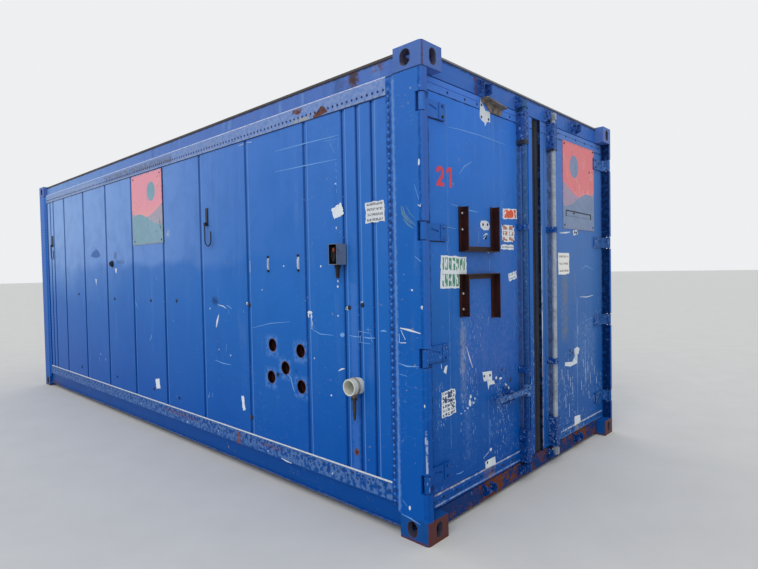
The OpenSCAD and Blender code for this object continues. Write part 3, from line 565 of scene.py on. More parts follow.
@dataclass(frozen=True)
class WeatheredMetal:
    """Bare or rusting metal with blotches, grain and streaks."""

    name: str
    dark: Colour
    light: Colour
    metallic: float = 0.0
    rough: float = 0.6
    rust: float = 0.0
    scale: float = 1.0
    depth: float = 0.002
    smears: tuple[Smear, ...] = ()

    def build(self) -> Material:
        """Makes the material.

        Returns:
            The finished material.
        """
        g = Graph(self.name)
        place = g.place()
        cloud = g.noise(place, 7 * self.scale, 6, 0.4)
        grain = g.noise(place, 60 * self.scale, 5)
        grit = g.noise(place, 240 * self.scale, 3)
        colour = g.ramp(cloud * 0.6 + grain * 0.4, [(0.36, self.dark), (0.64, self.light)])
        runs = g.noise(g.stretch(place, (16, 16, 1.4)), 1.0, 5).rise(0.52, 0.75)
        colour = g.mix(runs * 0.25, colour, tuple(c * 0.55 for c in self.dark))
        spots = (cloud * 0.5 + grain * 0.5).rise(0.66 - 0.22 * self.rust, 0.72 - 0.2 * self.rust)
        rust = spots * min(1.0, self.rust * 3)
        colour = g.mix(rust, colour, g.ramp(grit, [
            (0.3, srgb(70, 36, 26)), (0.6, srgb(126, 72, 46)), (0.8, srgb(160, 106, 76))]))
        for smear in self.smears:
            colour = g.mix(smear.mask(g, place, grain), colour, smear.colour)
        inputs = {"Base Color": colour, "Roughness": grain * 0.24 + rust * 0.25 + self.rough - 0.12,
                  "Specular IOR Level": 0.3}
        if self.metallic:
            inputs["Metallic"] = (1 - rust) * self.metallic
        return g.surface(inputs, cloud * 0.3 + grain * 0.4 + grit * 0.2, self.depth)


@dataclass(frozen=True)
class SoftBlack:
    """Dark rubber with dust in its grain and, on request, a brown line along it."""

    name: str
    dark: Colour = srgb(12, 12, 14)
    light: Colour = srgb(30, 30, 33)
    dust: float = 0.3
    line: "float | None" = None

    def build(self) -> Material:
        """Makes the material.

        Returns:
            The finished material.
        """
        g = Graph(self.name)
        place = g.place()
        _, y, z = g.split(place)
        grain = g.noise(place, 120, 4)
        cloud = g.noise(g.stretch(place, (9, 9, 2)), 1.0, 5)
        colour = g.ramp(grain, [(0.3, self.dark), (0.7, self.light)])
        colour = g.mix(cloud.rise(0.45, 0.75) * self.dust, colour, srgb(92, 82, 76))
        if self.line is not None:
            near = abs(y - self.line).rise(0.006, 0.003) * cloud.rise(0.3, 0.5)
            colour = g.mix(near * 0.6, colour, srgb(96, 72, 60))
            colour = g.mix(near * z.rise(2.2, 2.3), colour, srgb(186, 180, 172))
        inputs = {"Base Color": colour, "Roughness": cloud * 0.2 + 0.55, "Specular IOR Level": 0.25}
        return g.surface(inputs, grain, 0.0015)


@dataclass(frozen=True)
class DullPlastic:
    """Pale plastic or a smooth sheet with grime."""

    name: str
    base: Colour
    dirt: Colour = srgb(96, 92, 84)
    dirty: float = 0.35
    rough: float = 0.42

    def build(self) -> Material:
        """Makes the material.

        Returns:
            The finished material.
        """
        g = Graph(self.name)
        place = g.place()
        cloud = g.noise(place, 9, 6, 0.5)
        grain = g.noise(place, 110, 4)
        colour = g.mix(cloud.rise(0.45, 0.8) * self.dirty, self.base, self.dirt)
        colour = g.mix(grain.rise(0.6, 0.75) * self.dirty, colour, tuple(c * 0.5 for c in self.base))
        inputs = {"Base Color": colour, "Roughness": grain * 0.2 + self.rough, "Specular IOR Level": 0.35}
        return g.surface(inputs, grain, 0.0006)


@dataclass(frozen=True)
class FloorPlate:
    """Worn grey floor with scuffs along the length."""

    name: str
    base: Colour = srgb(138, 138, 134)

    def build(self) -> Material:
        """Makes the material.

        Returns:
            The finished material.
        """
        g = Graph(self.name)
        place = g.place()
        scuffs = g.noise(g.stretch(place, (1.2, 22, 8)), 1.0, 6)
        cloud = g.noise(place, 3, 6, 0.5)
        grain = g.noise(place, 90, 4)
        colour = g.mix(cloud.rise(0.4, 0.75) * 0.5, self.base, srgb(92, 88, 80))
        colour = g.mix(scuffs.rise(0.56, 0.7) * 0.5, colour, srgb(176, 176, 172))
        inputs = {"Base Color": colour, "Roughness": grain * 0.25 + 0.4, "Metallic": scuffs.rise(0.5, 0.7) * 0.5}
        return g.surface(inputs, scuffs * 0.5 + grain * 0.3, 0.0015)


@dataclass(frozen=True)
class PrintedSheet:
    """A faded pink printed sheet with a plain design of two slopes and a disc, scuffed and dusty."""

    name: str
    axis: int
    left: float
    foot: float
    width: float
    height: float
    high: Colour
    low: Colour
    motif: Colour
    flip: bool = False

    def build(self) -> Material:
        """Makes the material.

        Returns:
            The finished material.
        """
        g = Graph(self.name)
        place = g.place()
        parts = g.split(place)
        u = (parts[self.axis] - self.left) / self.width
        v = (parts[2] - self.foot) / self.height
        if self.flip:
            u = 1 - u
        cloud = g.noise(place, 6, 5, 0.8)
        grain = g.noise(place, 70, 4)
        grit = g.noise(place, 260, 3)
        ground = g.ramp(v + (cloud - 0.5) * 0.5, [(0.1, self.low), (0.55, self.high), (0.95, self.high)])
        ground = g.mix(cloud.rise(0.5, 0.72) * 0.4, ground, srgb(240, 184, 172))
        swell = g.math("SINE", u * 4.4 + 0.6, 0.0) * 0.09 + 0.35
        ridge = (swell - v).rise(-0.004, 0.004)
        second = (g.math("SINE", u * 3.1 + 3.4, 0.0) * 0.13 + 0.51 - v).rise(-0.004, 0.004)
        reach = g.math("SQRT", (u - 0.66) * (u - 0.66) + (v - 0.73) * (v - 0.73), 0.0)
        grey = g.ramp(cloud, [(0.35, tuple(c * 0.86 for c in self.motif)), (0.65, self.motif)])
        colour = g.mix(second, ground, g.mix(0.4, grey, srgb(214, 160, 176)))
        colour = g.mix(ridge, colour, grey)
        colour = g.mix(reach.rise(0.135, 0.129), colour, grey)
        bent = abs(g.noise(g.stretch(place, (3, 3, 1.2)), 2.2, 3, 2.0) - 0.5)
        scuff = bent.rise(0.006, 0.002) * cloud.rise(0.5, 0.6)
        colour = g.mix(scuff * 0.8, colour, srgb(60, 50, 54))
        edge = g.math("MINIMUM", g.math("MINIMUM", u, 1 - u), g.math("MINIMUM", v, 1 - v))
        colour = g.mix(edge.rise(0.03, 0.0) * grain.rise(0.45, 0.6) * 0.6, colour, srgb(150, 106, 104))
        colour = g.mix(grit.rise(0.62, 0.7) * 0.35, colour, srgb(240, 214, 214))
        inputs = {"Base Color": colour, "Roughness": grain * 0.25 + 0.45, "Specular IOR Level": 0.2}
        return g.surface(inputs, cloud, 0.003)


@dataclass(frozen=True)
class Label:
    """A small printed sheet: plain bars of ink in rows, broken into short marks, with tears and grime."""

    name: str
    ground: Colour = srgb(216, 221, 226)
    ink: Colour = srgb(62, 68, 88)
    rows: int = 0
    marks: int = 9
    thick: float = 0.22
    blotch: float = 0.0
    torn: float = 0.3

    def build(self) -> Material:
        """Makes the material.

        Returns:
            The finished material.
        """
        g = Graph(self.name)
        sheet = g.print_place()
        u, v, _ = g.split(sheet)
        place = g.place()
        cloud = g.noise(place, 26, 5, 0.5)
        grain = g.noise(place, 160, 4)
        colour: "Signal | Colour" = self.ground
        margin = abs(u - 0.5).rise(0.44, 0.42)
        if self.rows:
            line = (v * self.rows).wrap(1.0).rise(0.46 - self.thick, 0.5 - self.thick) * margin
            stroke = (u * self.marks).wrap(1.0).rise(0.1, 0.16)
            cut = g.noise(g.stretch(sheet, (self.marks * 1.7, self.rows * 2.3, 1)), 1.0, 1).rise(0.4, 0.44)
            colour = g.mix(line * stroke * cut * 0.9, colour, self.ink)
        if self.blotch:
            inside = margin * abs(v - 0.5).rise(0.44, 0.4)
            colour = g.mix(cloud.rise(0.62 - 0.3 * self.blotch, 0.66 - 0.3 * self.blotch) * inside, colour, self.ink)
        colour = g.mix(cloud.rise(0.6, 0.64) * self.torn, colour, srgb(140, 158, 186))
        colour = g.mix(grain.rise(0.55, 0.75) * 0.35, colour, srgb(124, 122, 118))
        inputs = {"Base Color": colour, "Roughness": cloud * 0.2 + 0.5, "Specular IOR Level": 0.2}
        return g.surface(inputs, grain, 0.0005)


# Bench: mesh work by operators


class Bench:
    """Makes and shapes meshes the way they are made by hand."""

    @staticmethod
    def clear() -> None:
        """Leaves edit mode and deselects everything."""
        if bpy.context.object is not None and bpy.context.object.mode != "OBJECT":
            bpy.ops.object.mode_set(mode="OBJECT")
        bpy.ops.object.select_all(action="DESELECT")

    @staticmethod
    def mark(test: Callable[[bmesh.types.BMFace], bool]) -> None:
        """Selects the faces of the mesh in edit mode that pass a test.

        Args:
            test: says whether a face is selected.
        """
        made = bmesh.from_edit_mesh(bpy.context.object.data)
        bpy.ops.mesh.select_all(action="DESELECT")
        for face in made.faces:
            face.select = bool(test(face))
        bmesh.update_edit_mesh(bpy.context.object.data)

    @classmethod
    def head(cls, radius: float, height: float, sides: int = 8, crown: float = 0.5) -> Piece:
        """A rivet or screw head, standing on the ground plane and rounded on top.

        Args:
            radius: radius at its foot.
            height: height of its crown.
            sides: number of sides.
            crown: share of the radius that the crown is drawn in.

        Returns:
            The piece, at the origin.
        """
        cls.clear()
        bpy.ops.mesh.primitive_cylinder_add(vertices=sides, radius=radius, depth=height * 0.5,
                                            location=(0, 0, height * 0.25), end_fill_type="NGON")
        bpy.ops.object.mode_set(mode="EDIT")
        cls.mark(lambda face: face.normal.z > 0.9)
        bpy.ops.mesh.inset(thickness=radius * crown, depth=height * 0.5)
        bpy.ops.object.mode_set(mode="OBJECT")
        cls.settle(bpy.context.object)
        return bpy.context.object

    @classmethod
    def ring(cls, outer: float, inner: float, height: float, sides: int = 40) -> Piece:
        """A flat ring with a sloped outer edge, standing on the ground plane.

        Args:
            outer: outer radius.
            inner: inner radius.
            height: how far it stands.
            sides: number of sides.

        Returns:
            The piece, at the origin.
        """
        cls.clear()
        crest = inner + (outer - inner) * 0.6
        bpy.ops.mesh.primitive_circle_add(vertices=sides, radius=inner, fill_type="NOTHING")
        bpy.ops.object.mode_set(mode="EDIT")
        bpy.ops.mesh.select_all(action="SELECT")
        for size, lift in ((1.0, height), (crest / inner, 0.0), (outer / crest, -height)):
            bpy.ops.mesh.extrude_edges_move()
            bpy.ops.transform.resize(value=(size, size, 1))
            bpy.ops.transform.translate(value=(0, 0, lift))
        bpy.ops.mesh.select_all(action="SELECT")
        bpy.ops.mesh.normals_make_consistent(inside=False)
        bpy.ops.object.mode_set(mode="OBJECT")
        bpy.ops.object.shade_smooth_by_angle(angle=math.radians(40))
        cls.settle(bpy.context.object)
        return bpy.context.object

    @classmethod
    def block(cls, size: Point, bevel: float) -> Piece:
        """A block standing on the ground plane, with bevelled edges.

        Args:
            size: its three sides.
            bevel: width of the bevel.

        Returns:
            The piece, at the origin.
        """
        cls.clear()
        bpy.ops.mesh.primitive_cube_add(size=1, location=(0, 0, 0))
        bpy.context.object.scale = size
        bpy.context.object.location = (0, 0, size[2] / 2)
        bpy.ops.object.transform_apply(location=True, rotation=True, scale=True)
        bpy.ops.object.mode_set(mode="EDIT")
        bpy.ops.mesh.select_all(action="SELECT")
        bpy.ops.mesh.bevel(offset=bevel, segments=3, affect="EDGES")
        bpy.ops.object.mode_set(mode="OBJECT")
        cls.settle(bpy.context.object)
        return bpy.context.object

    @classmethod
    def sticker(cls, width: float, height: float, lift: float = 0.0007, fray: float = 0.004, seed: int = 1,
                tilt: float = 0.0) -> Piece:
        """A thin sheet with a slightly uneven outline and its own print map, drawn flat and facing +Z.

        Args:
            width: size across.
            height: size upwards.
            lift: thickness.
            fray: how far its outline wanders.
            seed: picks the outline.
            tilt: turn in its own plane, in degrees.

        Returns:
            The piece, at the origin.
        """
        cls.clear()
        bpy.ops.mesh.primitive_grid_add(x_subdivisions=9, y_subdivisions=9, size=1)
        sheet = bpy.context.object
        dice = random.Random(seed)
        for vert in sheet.data.vertices:
            rim = max(abs(vert.co.x), abs(vert.co.y)) > 0.499
            vert.co.x = vert.co.x * width + (dice.uniform(-fray, fray) if rim else 0)
            vert.co.y = vert.co.y * height + (dice.uniform(-fray, fray) if rim else 0)
        thick = sheet.modifiers.new("thickness", "SOLIDIFY")
        thick.thickness, thick.offset = lift, 1.0
        bpy.ops.object.modifier_apply(modifier=thick.name)
        sheet.data.transform(Matrix.Rotation(math.radians(tilt), 4, "Z"))
        return sheet

    @classmethod
    def patch(cls, outline: Sequence[Spot], lift: float = 0.0006) -> Piece:
        """A thin flat patch with a given outline, drawn flat and facing +Z.

        Args:
            outline: its corners in mm, in order.
            lift: thickness in metres.

        Returns:
            The piece, at the origin.
        """
        cls.clear()
        bpy.ops.mesh.primitive_circle_add(vertices=len(outline), radius=1, fill_type="NGON")
        piece = bpy.context.object
        for vert, (across, up) in zip(piece.data.vertices, outline):
            vert.co = (across * MM, up * MM, 0)
        bpy.ops.object.mode_set(mode="EDIT")
        bpy.ops.mesh.select_all(action="SELECT")
        bpy.ops.mesh.extrude_region_move(TRANSFORM_OT_translate={"value": (0, 0, lift)})
        bpy.ops.mesh.select_all(action="SELECT")
        bpy.ops.mesh.normals_make_consistent(inside=False)
        bpy.ops.object.mode_set(mode="OBJECT")
        return piece

    @classmethod
    def stroke(cls, points: Sequence[Spot], width: float, ends: float = 0.35) -> Piece:
        """A thin raised line along a path, drawn flat and facing +Z.

        Args:
            points: its path in mm.
            width: its width in mm.
            ends: share of the width left at both ends.

        Returns:
            The piece, at the origin.
        """
        left, right = [], []
        for index, point in enumerate(points):
            before, after = points[max(index - 1, 0)], points[min(index + 1, len(points) - 1)]
            along = Vector((after[0] - before[0], after[1] - before[1])).normalized()
            half = width / 2 * (ends if index in (0, len(points) - 1) else 1.0)
            left.append((point[0] - along.y * half, point[1] + along.x * half))
            right.append((point[0] + along.y * half, point[1] - along.x * half))
        return cls.patch([*left, *reversed(right)])

    @staticmethod
    def settle(piece: Piece) -> None:
        """Moves a piece's place into its mesh.

        Args:
            piece: the piece.
        """
        bpy.context.view_layer.update()
        piece.data.transform(piece.matrix_world)
        piece.matrix_world = Matrix.Identity(4)

    @classmethod
    def row(cls, piece: Piece, count: int, step: Point) -> None:
        """Repeats a piece along a line, in one mesh.

        Args:
            piece: the piece, which becomes the row.
            count: number of copies.
            step: distance from one copy to the next.
        """
        cls.clear()
        bpy.context.view_layer.objects.active = piece
        piece.select_set(True)
        array = piece.modifiers.new("row", "ARRAY")
        array.use_relative_offset, array.use_constant_offset = False, True
        array.count, array.constant_offset_displace = count, step
        bpy.ops.object.modifier_apply(modifier=array.name)

    @classmethod
    def join(cls, pieces: Sequence[Piece]) -> Piece:
        """Joins pieces into one mesh.

        Args:
            pieces: the pieces.

        Returns:
            The joined piece.
        """
        cls.clear()
        for piece in pieces:
            piece.select_set(True)
        bpy.context.view_layer.objects.active = pieces[0]
        if len(pieces) > 1:
            bpy.ops.object.join()
        return bpy.context.view_layer.objects.active

    @classmethod
    def scatter(cls, piece: Piece, places: Sequence[Matrix]) -> Piece:
        """Copies a piece to many places and joins the copies.

        Args:
            piece: the pattern, which is used up.
            places: a matrix for each copy.

        Returns:
            The joined piece.
        """
        copies = []
        for place in places:
            copy = piece.copy()
            copy.data = piece.data.copy()
            copy.data.transform(place)
            bpy.context.scene.collection.objects.link(copy)
            copies.append(copy)
        bpy.data.objects.remove(piece)
        return cls.join(copies)


def at(facing: Facing, x: float, y: float, z: float) -> Matrix:
    """The matrix that puts a piece drawn flat at a place on one side of the cabin.

    Args:
        facing: which way the surface looks.
        x: place in mm.
        y: place in mm.
        z: place in mm.

    Returns:
        The matrix, in metres.
    """
    return Matrix.Translation((x * MM, y * MM, z * MM)) @ facing.turn()


def keep(piece: Piece, name: str, body: Body, material: Material) -> None:
    """Names a finished piece, dresses it and lets it ride on its body.

    Args:
        piece: the piece, in place.
        name: its name.
        body: the body that carries it.
        material: its finish.
    """
    piece.name = name
    piece.data.name = name
    piece.data.materials.clear()
    piece.data.materials.append(material)
    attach(piece, body.value)
    log.info("%s: %d faces on %s", name, len(piece.data.polygons), body.value)


# Paints and finishes by name


class Finishes:
    """Every finish of the cabin, made once."""

    def __init__(self) -> None:
        """Builds the materials."""
        rust_red, pale, navy = srgb(96, 50, 38), srgb(168, 184, 206), srgb(8, 22, 58)
        ghost, strip, line = srgb(96, 134, 190), srgb(100, 132, 208), srgb(14, 34, 84)
        rust_brown = srgb(104, 66, 58)
        rows = (
            Grooves(-2.170, 0.615, -2.5, 0.6), Grooves(-2.170, 0.615, 0.6, 2.3, shade_half=0.0055),
            Grooves(2.462, 0.1115, 2.4, 2.74, -0.009, 0.0052, 0.8), Grooves(-2.551, 0.112, -2.82, -2.5),
        )
        holes = tuple((x * MM, z * MM) for x, z in HOSE_HOLES)
        self.wall = WornPaint(
            "wall_blue", far_sheen=0.85, horizon=1.42, chips=0.22, rust=0.08, gloss=0.3, grime=0.16, grooves=rows,
            smears=(
                *(Smear((x - 0.070, -1.21, z - 0.076), (x + 0.060, -1.2045, z + 0.062), srgb(116, 158, 214), 1.0, 0.016,
                        True) for x, z in holes),
                # painted shadow of the side placard on the wall beside it
                Smear((0.286, -1.25, 1.600), (0.303, -1.19, 2.226), navy, 0.85, 0.003),
                *(Smear((x - 0.05, -1.2043, z - 0.05), (x + 0.05, -1.12, z + 0.05), srgb(30, 16, 16), 1.0, 0.0004)
                  for x, z in holes),
                Smear((2.502, -1.25, 0.20), (2.550, -1.19, 1.28), srgb(92, 132, 210), 0.3, 0.013),
                Smear((1.806, -1.25, 0.684), (1.842, -1.19, 0.712), navy, 0.85, 0.008),
                Smear((1.04, -1.25, 1.128), (1.12, -1.19, 1.168), navy, 0.6, 0.02),
                Smear((2.012, -1.25, 0.735), (2.022, -1.19, 0.745), navy, 0.8, 0.02),
                Smear((0.33, -1.25, 1.650), (0.40, -1.19, 1.708), pale, 0.8, 0.018, True),
                # painted shadows beside and above the pipe coupling
                Smear((-0.70, -1.25, 1.462), (-0.52, -1.19, 1.482), line, 0.5, 0.02),
                Smear((-0.76, -1.25, 1.50), (-0.70, -1.19, 1.56), line, 0.55, 0.02),
            ),
        ).build()
        self.plain_wall = WornPaint("plain_wall_blue", chips=0.2, rust=0.1, gloss=0.3, seed=6.0).build()
        self.frame = WornPaint(
            "frame_blue", rust=0.2, chips=0.4, grime=0.25, seed=2.3, middle=srgb(24, 98, 184), high=srgb(54, 110, 194),
            smears=(
                all_round((2.3125, 2.3205), srgb(34, 36, 58), 0.75, 0.002),
                Smear((2.788, -1.25, 0.15), (2.827, -1.18, 2.30), srgb(14, 56, 130), 0.6, 0.003, True),
                # painted highlight along the post's bent edge
                Smear((2.834, -1.25, 0.13), (2.853, -1.18, 2.30), srgb(118, 160, 220), 0.6, 0.009),
                # painted shade on the post's rounded outer corner
                Smear((3.003, -1.2205, 0.13), (3.018, -1.2175, 2.31), srgb(10, 68, 142), 0.7, 0.004),
                # painted shade on the inner face of the right post
                Smear((2.966, 1.170, 0.12), (3.0275, 1.1785, 2.318), navy, 0.92, 0.002),
                *(Smear((3.0225, -1.2195, low), (3.031, -1.1765, 2.31), srgb(72, 96, 172), 0.2, 0.003)
                  for low in (0.85, 1.15, 1.5)),
                *(Smear((3.0225, -1.2195, 0.12), (3.031, -1.1765, high), srgb(2, 56, 130), 0.25, 0.003)
                  for high in (0.62, 0.9)),
                Smear((3.018, -1.2205, 0.36), (3.031, -1.2095, 0.57), pale, 0.9, 0.003, True),
            ),
        ).build()
        self.top_rail = WornPaint(
            "top_rail_blue", low=srgb(82, 124, 196), middle=srgb(82, 120, 192), high=srgb(84, 118, 190), far_sheen=0.55,
            rust=0.32, chips=0.8, chalk=0.8, grime=0.6, gloss=0.42, seed=9.1,
            smears=(
                all_round((2.232, 2.318), srgb(122, 152, 208), 0.55, 0.004),
                all_round((2.232, 2.318), srgb(158, 172, 200), 0.35, 0.004, True),
                # painted highlight along the ledge above the band
                all_round((2.3185, 2.3272), srgb(222, 226, 236), 0.85, 0.003),
                # painted shadow under the band's lower edge
                all_round((2.2225, 2.2315), srgb(26, 32, 50), 0.9, 0.002),
                all_round((2.2335, 2.2395), srgb(178, 176, 164), 0.7, 0.003, True),
                Smear((-0.94, -1.25, 2.243), (0.48, -1.2, 2.306), srgb(104, 98, 100), 0.9, 0.012, True),
                Smear((0.62, -1.25, 2.25), (1.25, -1.2, 2.31), srgb(134, 146, 176), 0.5, 0.012, True),
                Smear((-2.7, -1.25, 2.24), (-1.1, -1.2, 2.30), srgb(166, 172, 184), 0.6, 0.012, True),
                Smear((2.05, -1.25, 2.232), (2.25, -1.2, 2.258), srgb(176, 172, 150), 0.8, 0.01, True),
                Smear((2.04, -1.25, 2.292), (2.12, -1.2, 2.312), rust_brown, 0.9, 0.008),
                Smear((2.49, -1.25, 2.335), (2.575, -1.15, 2.425), srgb(84, 62, 62), 0.95, 0.014, True),
                Smear((2.50, -1.25, 2.36), (2.545, -1.15, 2.425), srgb(74, 56, 54), 0.8, 0.01),
                Smear((2.66, -1.25, 2.375), (2.77, -1.15, 2.43), rust_brown, 0.7, 0.014, True),
                Smear((2.42, -1.25, 2.365), (2.50, -1.15, 2.39), rust_brown, 0.6, 0.012, True),
                Smear((-FAR, -1.2, 2.413), (FAR, -1.15, 2.4295), srgb(56, 50, 58), 0.8, 0.004),
            ),
        ).build()
        self.low_rail = WornPaint(
            "low_rail_blue", low=srgb(6, 72, 150), middle=srgb(6, 72, 150), high=srgb(22, 92, 170),
            rust=0.3, chips=0.6, grime=0.35, seed=4.4,
            smears=(
                all_round((0.162, 0.256), srgb(112, 148, 196), 0.5, 0.004, True),
                # painted highlight along the rail's top ledge
                all_round((0.2535, 0.262), srgb(222, 226, 224), 0.95, 0.002),
                Smear((1.335, -1.25, 0.15), (1.375, -1.2, 0.24), srgb(126, 70, 48), 0.85, 0.012),
                Smear((1.62, -1.25, 0.205), (1.86, -1.2, 0.232), srgb(126, 70, 48), 0.7, 0.014, True),
                Smear((0.22, -1.25, 0.205), (0.80, -1.2, 0.235), srgb(126, 76, 56), 0.7, 0.014, True),
                Smear((-2.95, -1.25, 0.03), (-2.5, -1.15, 0.075), rust_red, 0.85, 0.02, True),
                Smear((-FAR, -1.2075, 0.041), (FAR, -1.2, 0.051), srgb(120, 118, 130), 0.5, 0.003, True),
            ),
        ).build()
        self.fitting_high = WornPaint(
            "high_fitting_blue", high=srgb(84, 116, 184), middle=srgb(66, 104, 172), rust=0.25, chips=0.6, seed=7.7,
            rims=EyeRims(),
            smears=(Smear((3.0245, -1.2185, 2.31), (3.031, -1.2055, 2.44), srgb(86, 52, 52), 0.85, 0.003),),
        ).build()
        self.fitting_low = WornPaint(
            "low_fitting_blue", low=srgb(14, 78, 150), middle=srgb(14, 78, 150), rust=0.4, chips=0.8,
            grime=0.5, seed=5.2, rims=EyeRims(),
            smears=(
                all_round((-0.05, 0.012), rust_red, 0.85, 0.008),
                Smear((3.0235, -FAR, -0.05), (3.035, FAR, 0.117), srgb(92, 50, 38), 0.95, 0.003),
            ),
        ).build()
        self.header = WornPaint(
            "header_blue", high=srgb(60, 108, 190), chips=0.35, rust=0.12, seed=18.0,
            smears=(
                # painted shadow of the roof lip along the top of the header
                on_leaf((-1.06, 2.409), (1.06, 2.4225), srgb(22, 38, 84), 0.75, 0.003),
                on_leaf((-0.668, 2.322), (-0.628, 2.409), srgb(84, 46, 54), 0.85, 0.004),
                on_leaf((-0.36, 2.324), (-0.10, 2.40), srgb(96, 104, 150), 0.5, 0.02, True),
                # painted shadow beside the right keeper
                on_leaf((0.50, 2.324), (0.60, 2.409), navy, 0.5, 0.02),
            ),
        ).build()
        # the strip under the header lighter as painted light, with a painted shadow line beneath it
        top_strip = (
            on_leaf((-FAR, 2.2465), (FAR, 2.32), strip, 0.36, 0.001),
            on_leaf((-FAR, 2.2395), (FAR, 2.2465), line, 0.9, 0.0015),
        )
        self.left_leaf = WornPaint(
            "left_leaf_blue", low=srgb(2, 74, 156), middle=srgb(36, 106, 188), high=srgb(58, 124, 222),
            chips=0.3, rust=0.08, chalk=0.35, grime=0.15, flecks=0.9, seed=12.5,
            smears=(
                *top_strip,
                # painted shadow in the gap beside the post's lip
                on_leaf((-1.13, 0.13), (-1.085, 2.235), srgb(10, 26, 70), 0.85, 0.003),
                on_leaf((-0.80, 0.72), (-0.16, 1.60), srgb(86, 108, 186), 0.5, 0.11),
                # painted shadow of the left lock rod
                on_leaf((-0.200, -1), (-0.150, 3), srgb(6, 34, 96), 0.75, 0.006),
                on_leaf((-0.9325, 0.4), (-0.9275, 2.2), ghost, 0.8, 0.002),
                on_leaf((-0.5625, 0.2), (-0.5575, 1.15), ghost, 0.5, 0.0015, True),
                on_leaf((-1.083, 0.188), (-0.188, 0.197), srgb(190, 198, 212), 0.9, 0.002),
                on_leaf((-1.083, 0.133), (-0.188, 0.140), srgb(160, 178, 208), 0.85, 0.002),
                on_leaf((-1.083, 0.150), (-0.188, 0.154), srgb(8, 30, 76), 0.8, 0.002),
                on_leaf((-1.10, 0.186), (-0.80, 0.204), srgb(136, 88, 66), 0.8, 0.01, True),
                on_leaf((-0.61, 0.13), (-0.50, 0.20), srgb(138, 108, 70), 0.75, 0.015),
                on_leaf((-0.835, 0.62), (-0.775, 1.07), srgb(150, 162, 172), 0.75, 0.02, True),
                on_leaf((-0.826, 0.78), (-0.798, 1.07), srgb(172, 178, 178), 0.45, 0.012),
                on_leaf((-0.83, 0.82), (-0.785, 1.0), srgb(140, 116, 96), 0.6, 0.02, True),
                on_leaf((-0.80, 0.30), (-0.745, 0.66), srgb(120, 152, 200), 0.5, 0.02, True),
                on_leaf((-0.72, 0.67), (-0.30, 0.75), srgb(20, 30, 66), 0.5, 0.03, True),
            ),
        ).build()
        self.right_leaf = WornPaint(
            "right_leaf_blue", low=srgb(16, 84, 160), middle=srgb(68, 116, 182), high=srgb(80, 126, 202),
            chips=0.4, rust=0.1, chalk=0.4, grime=0.25, flecks=1.0, seed=15.5,
            smears=(
                *top_strip,
                # painted shadow of the right lock rod
                on_leaf((0.213, -1), (0.298, 3), srgb(6, 24, 66), 0.85, 0.006),
                # painted shade on the leaf's edge face in the gap by the seal
                Smear((2.92, 0.100, 0), (2.9705, 0.1056, 3), srgb(14, 18, 32), 0.95, 0.0008),
                Smear((2.9655, 0.108, 0.15), (2.972, 0.1195, 1.62), srgb(172, 170, 178), 0.8, 0.002, True),
                Smear((2.9655, 0.104, 0.13), (2.972, 0.1195, 0.75), srgb(140, 124, 134), 0.65, 0.003, True),
                on_leaf((0.687, 0.2), (0.694, 1.13), srgb(140, 176, 216), 0.7, 0.0015),
                on_leaf((0.43, 0.82), (0.53, 1.30), srgb(124, 126, 114), 0.65, 0.03),
                on_leaf((0.46, 1.08), (0.50, 1.22), srgb(150, 122, 84), 0.7, 0.02, True),
                on_leaf((0.644, 1.08), (0.672, 1.30), srgb(140, 126, 108), 0.75, 0.008, True),
                on_leaf((0.40, 0.167), (1.165, 0.178), srgb(196, 200, 210), 0.9, 0.002),
                on_leaf((0.40, 0.120), (1.165, 0.127), srgb(160, 176, 204), 0.8, 0.002),
                on_leaf((0.636, 0.12), (0.734, 0.172), srgb(158, 150, 132), 0.8, 0.01),
                on_leaf((0.62, 0.50), (1.05, 0.95), srgb(136, 168, 208), 0.45, 0.06, True),
            ),
        ).build()
        self.blades = WornPaint(
            "blade_blue", low=srgb(10, 76, 156), middle=srgb(34, 96, 178), high=srgb(56, 112, 198),
            rust=0.14, chips=0.5, grime=0.3, flecks=0.6, seed=8.2,
        ).build()
        self.far_blades = WornPaint(
            "far_blade_blue", low=srgb(20, 80, 150), middle=srgb(56, 100, 164), high=srgb(72, 114, 182),
            rust=0.25, chips=0.8, chalk=0.7, grime=0.6, speckle=0.55, seed=8.9,
        ).build()
        self.gear = WornPaint(
            "gear_blue", low=srgb(6, 60, 134), middle=srgb(24, 78, 152), high=srgb(44, 84, 158),
            rust=0.34, chips=0.8, chalk=0.6, grime=0.8, flecks=0.6, speckle=0.75, seed=11.4,
            smears=(
                Smear((2.95, -FAR, 2.095), (3.03, -0.05, 2.128), srgb(52, 50, 44), 0.8, 0.008),
                Smear((2.95, 0.05, 2.115), (3.03, FAR, 2.140), srgb(52, 50, 44), 0.8, 0.008),
            ),
        ).build()
        self.rod = WornPaint(
            "rod_blue", low=srgb(10, 54, 118), middle=srgb(46, 84, 136), high=srgb(64, 104, 156),
            rust=0.3, chips=0.9, chalk=0.7, grime=0.8, speckle=0.3, gloss=0.45, seed=3.1,
        ).build()
        self.handle = WornPaint(
            "handle_blue", low=srgb(48, 92, 158), middle=srgb(84, 120, 178), high=srgb(66, 84, 126),
            rust=0.4, chips=1.0, speckle=1.0, gloss=0.45, seed=5.1,
        ).build()
        self.zinc = WeatheredMetal("dull_zinc", srgb(116, 128, 146), srgb(182, 190, 200), 0.3, 0.46, 0.1, 1.2).build()
        self.sill = WornPaint(
            "rusty_sill", low=srgb(20, 52, 108), middle=srgb(20, 52, 108), high=srgb(20, 52, 108),
            rust=1.15, chips=0.6, grime=1.0, gloss=0.6, seed=21.0,
        ).build()
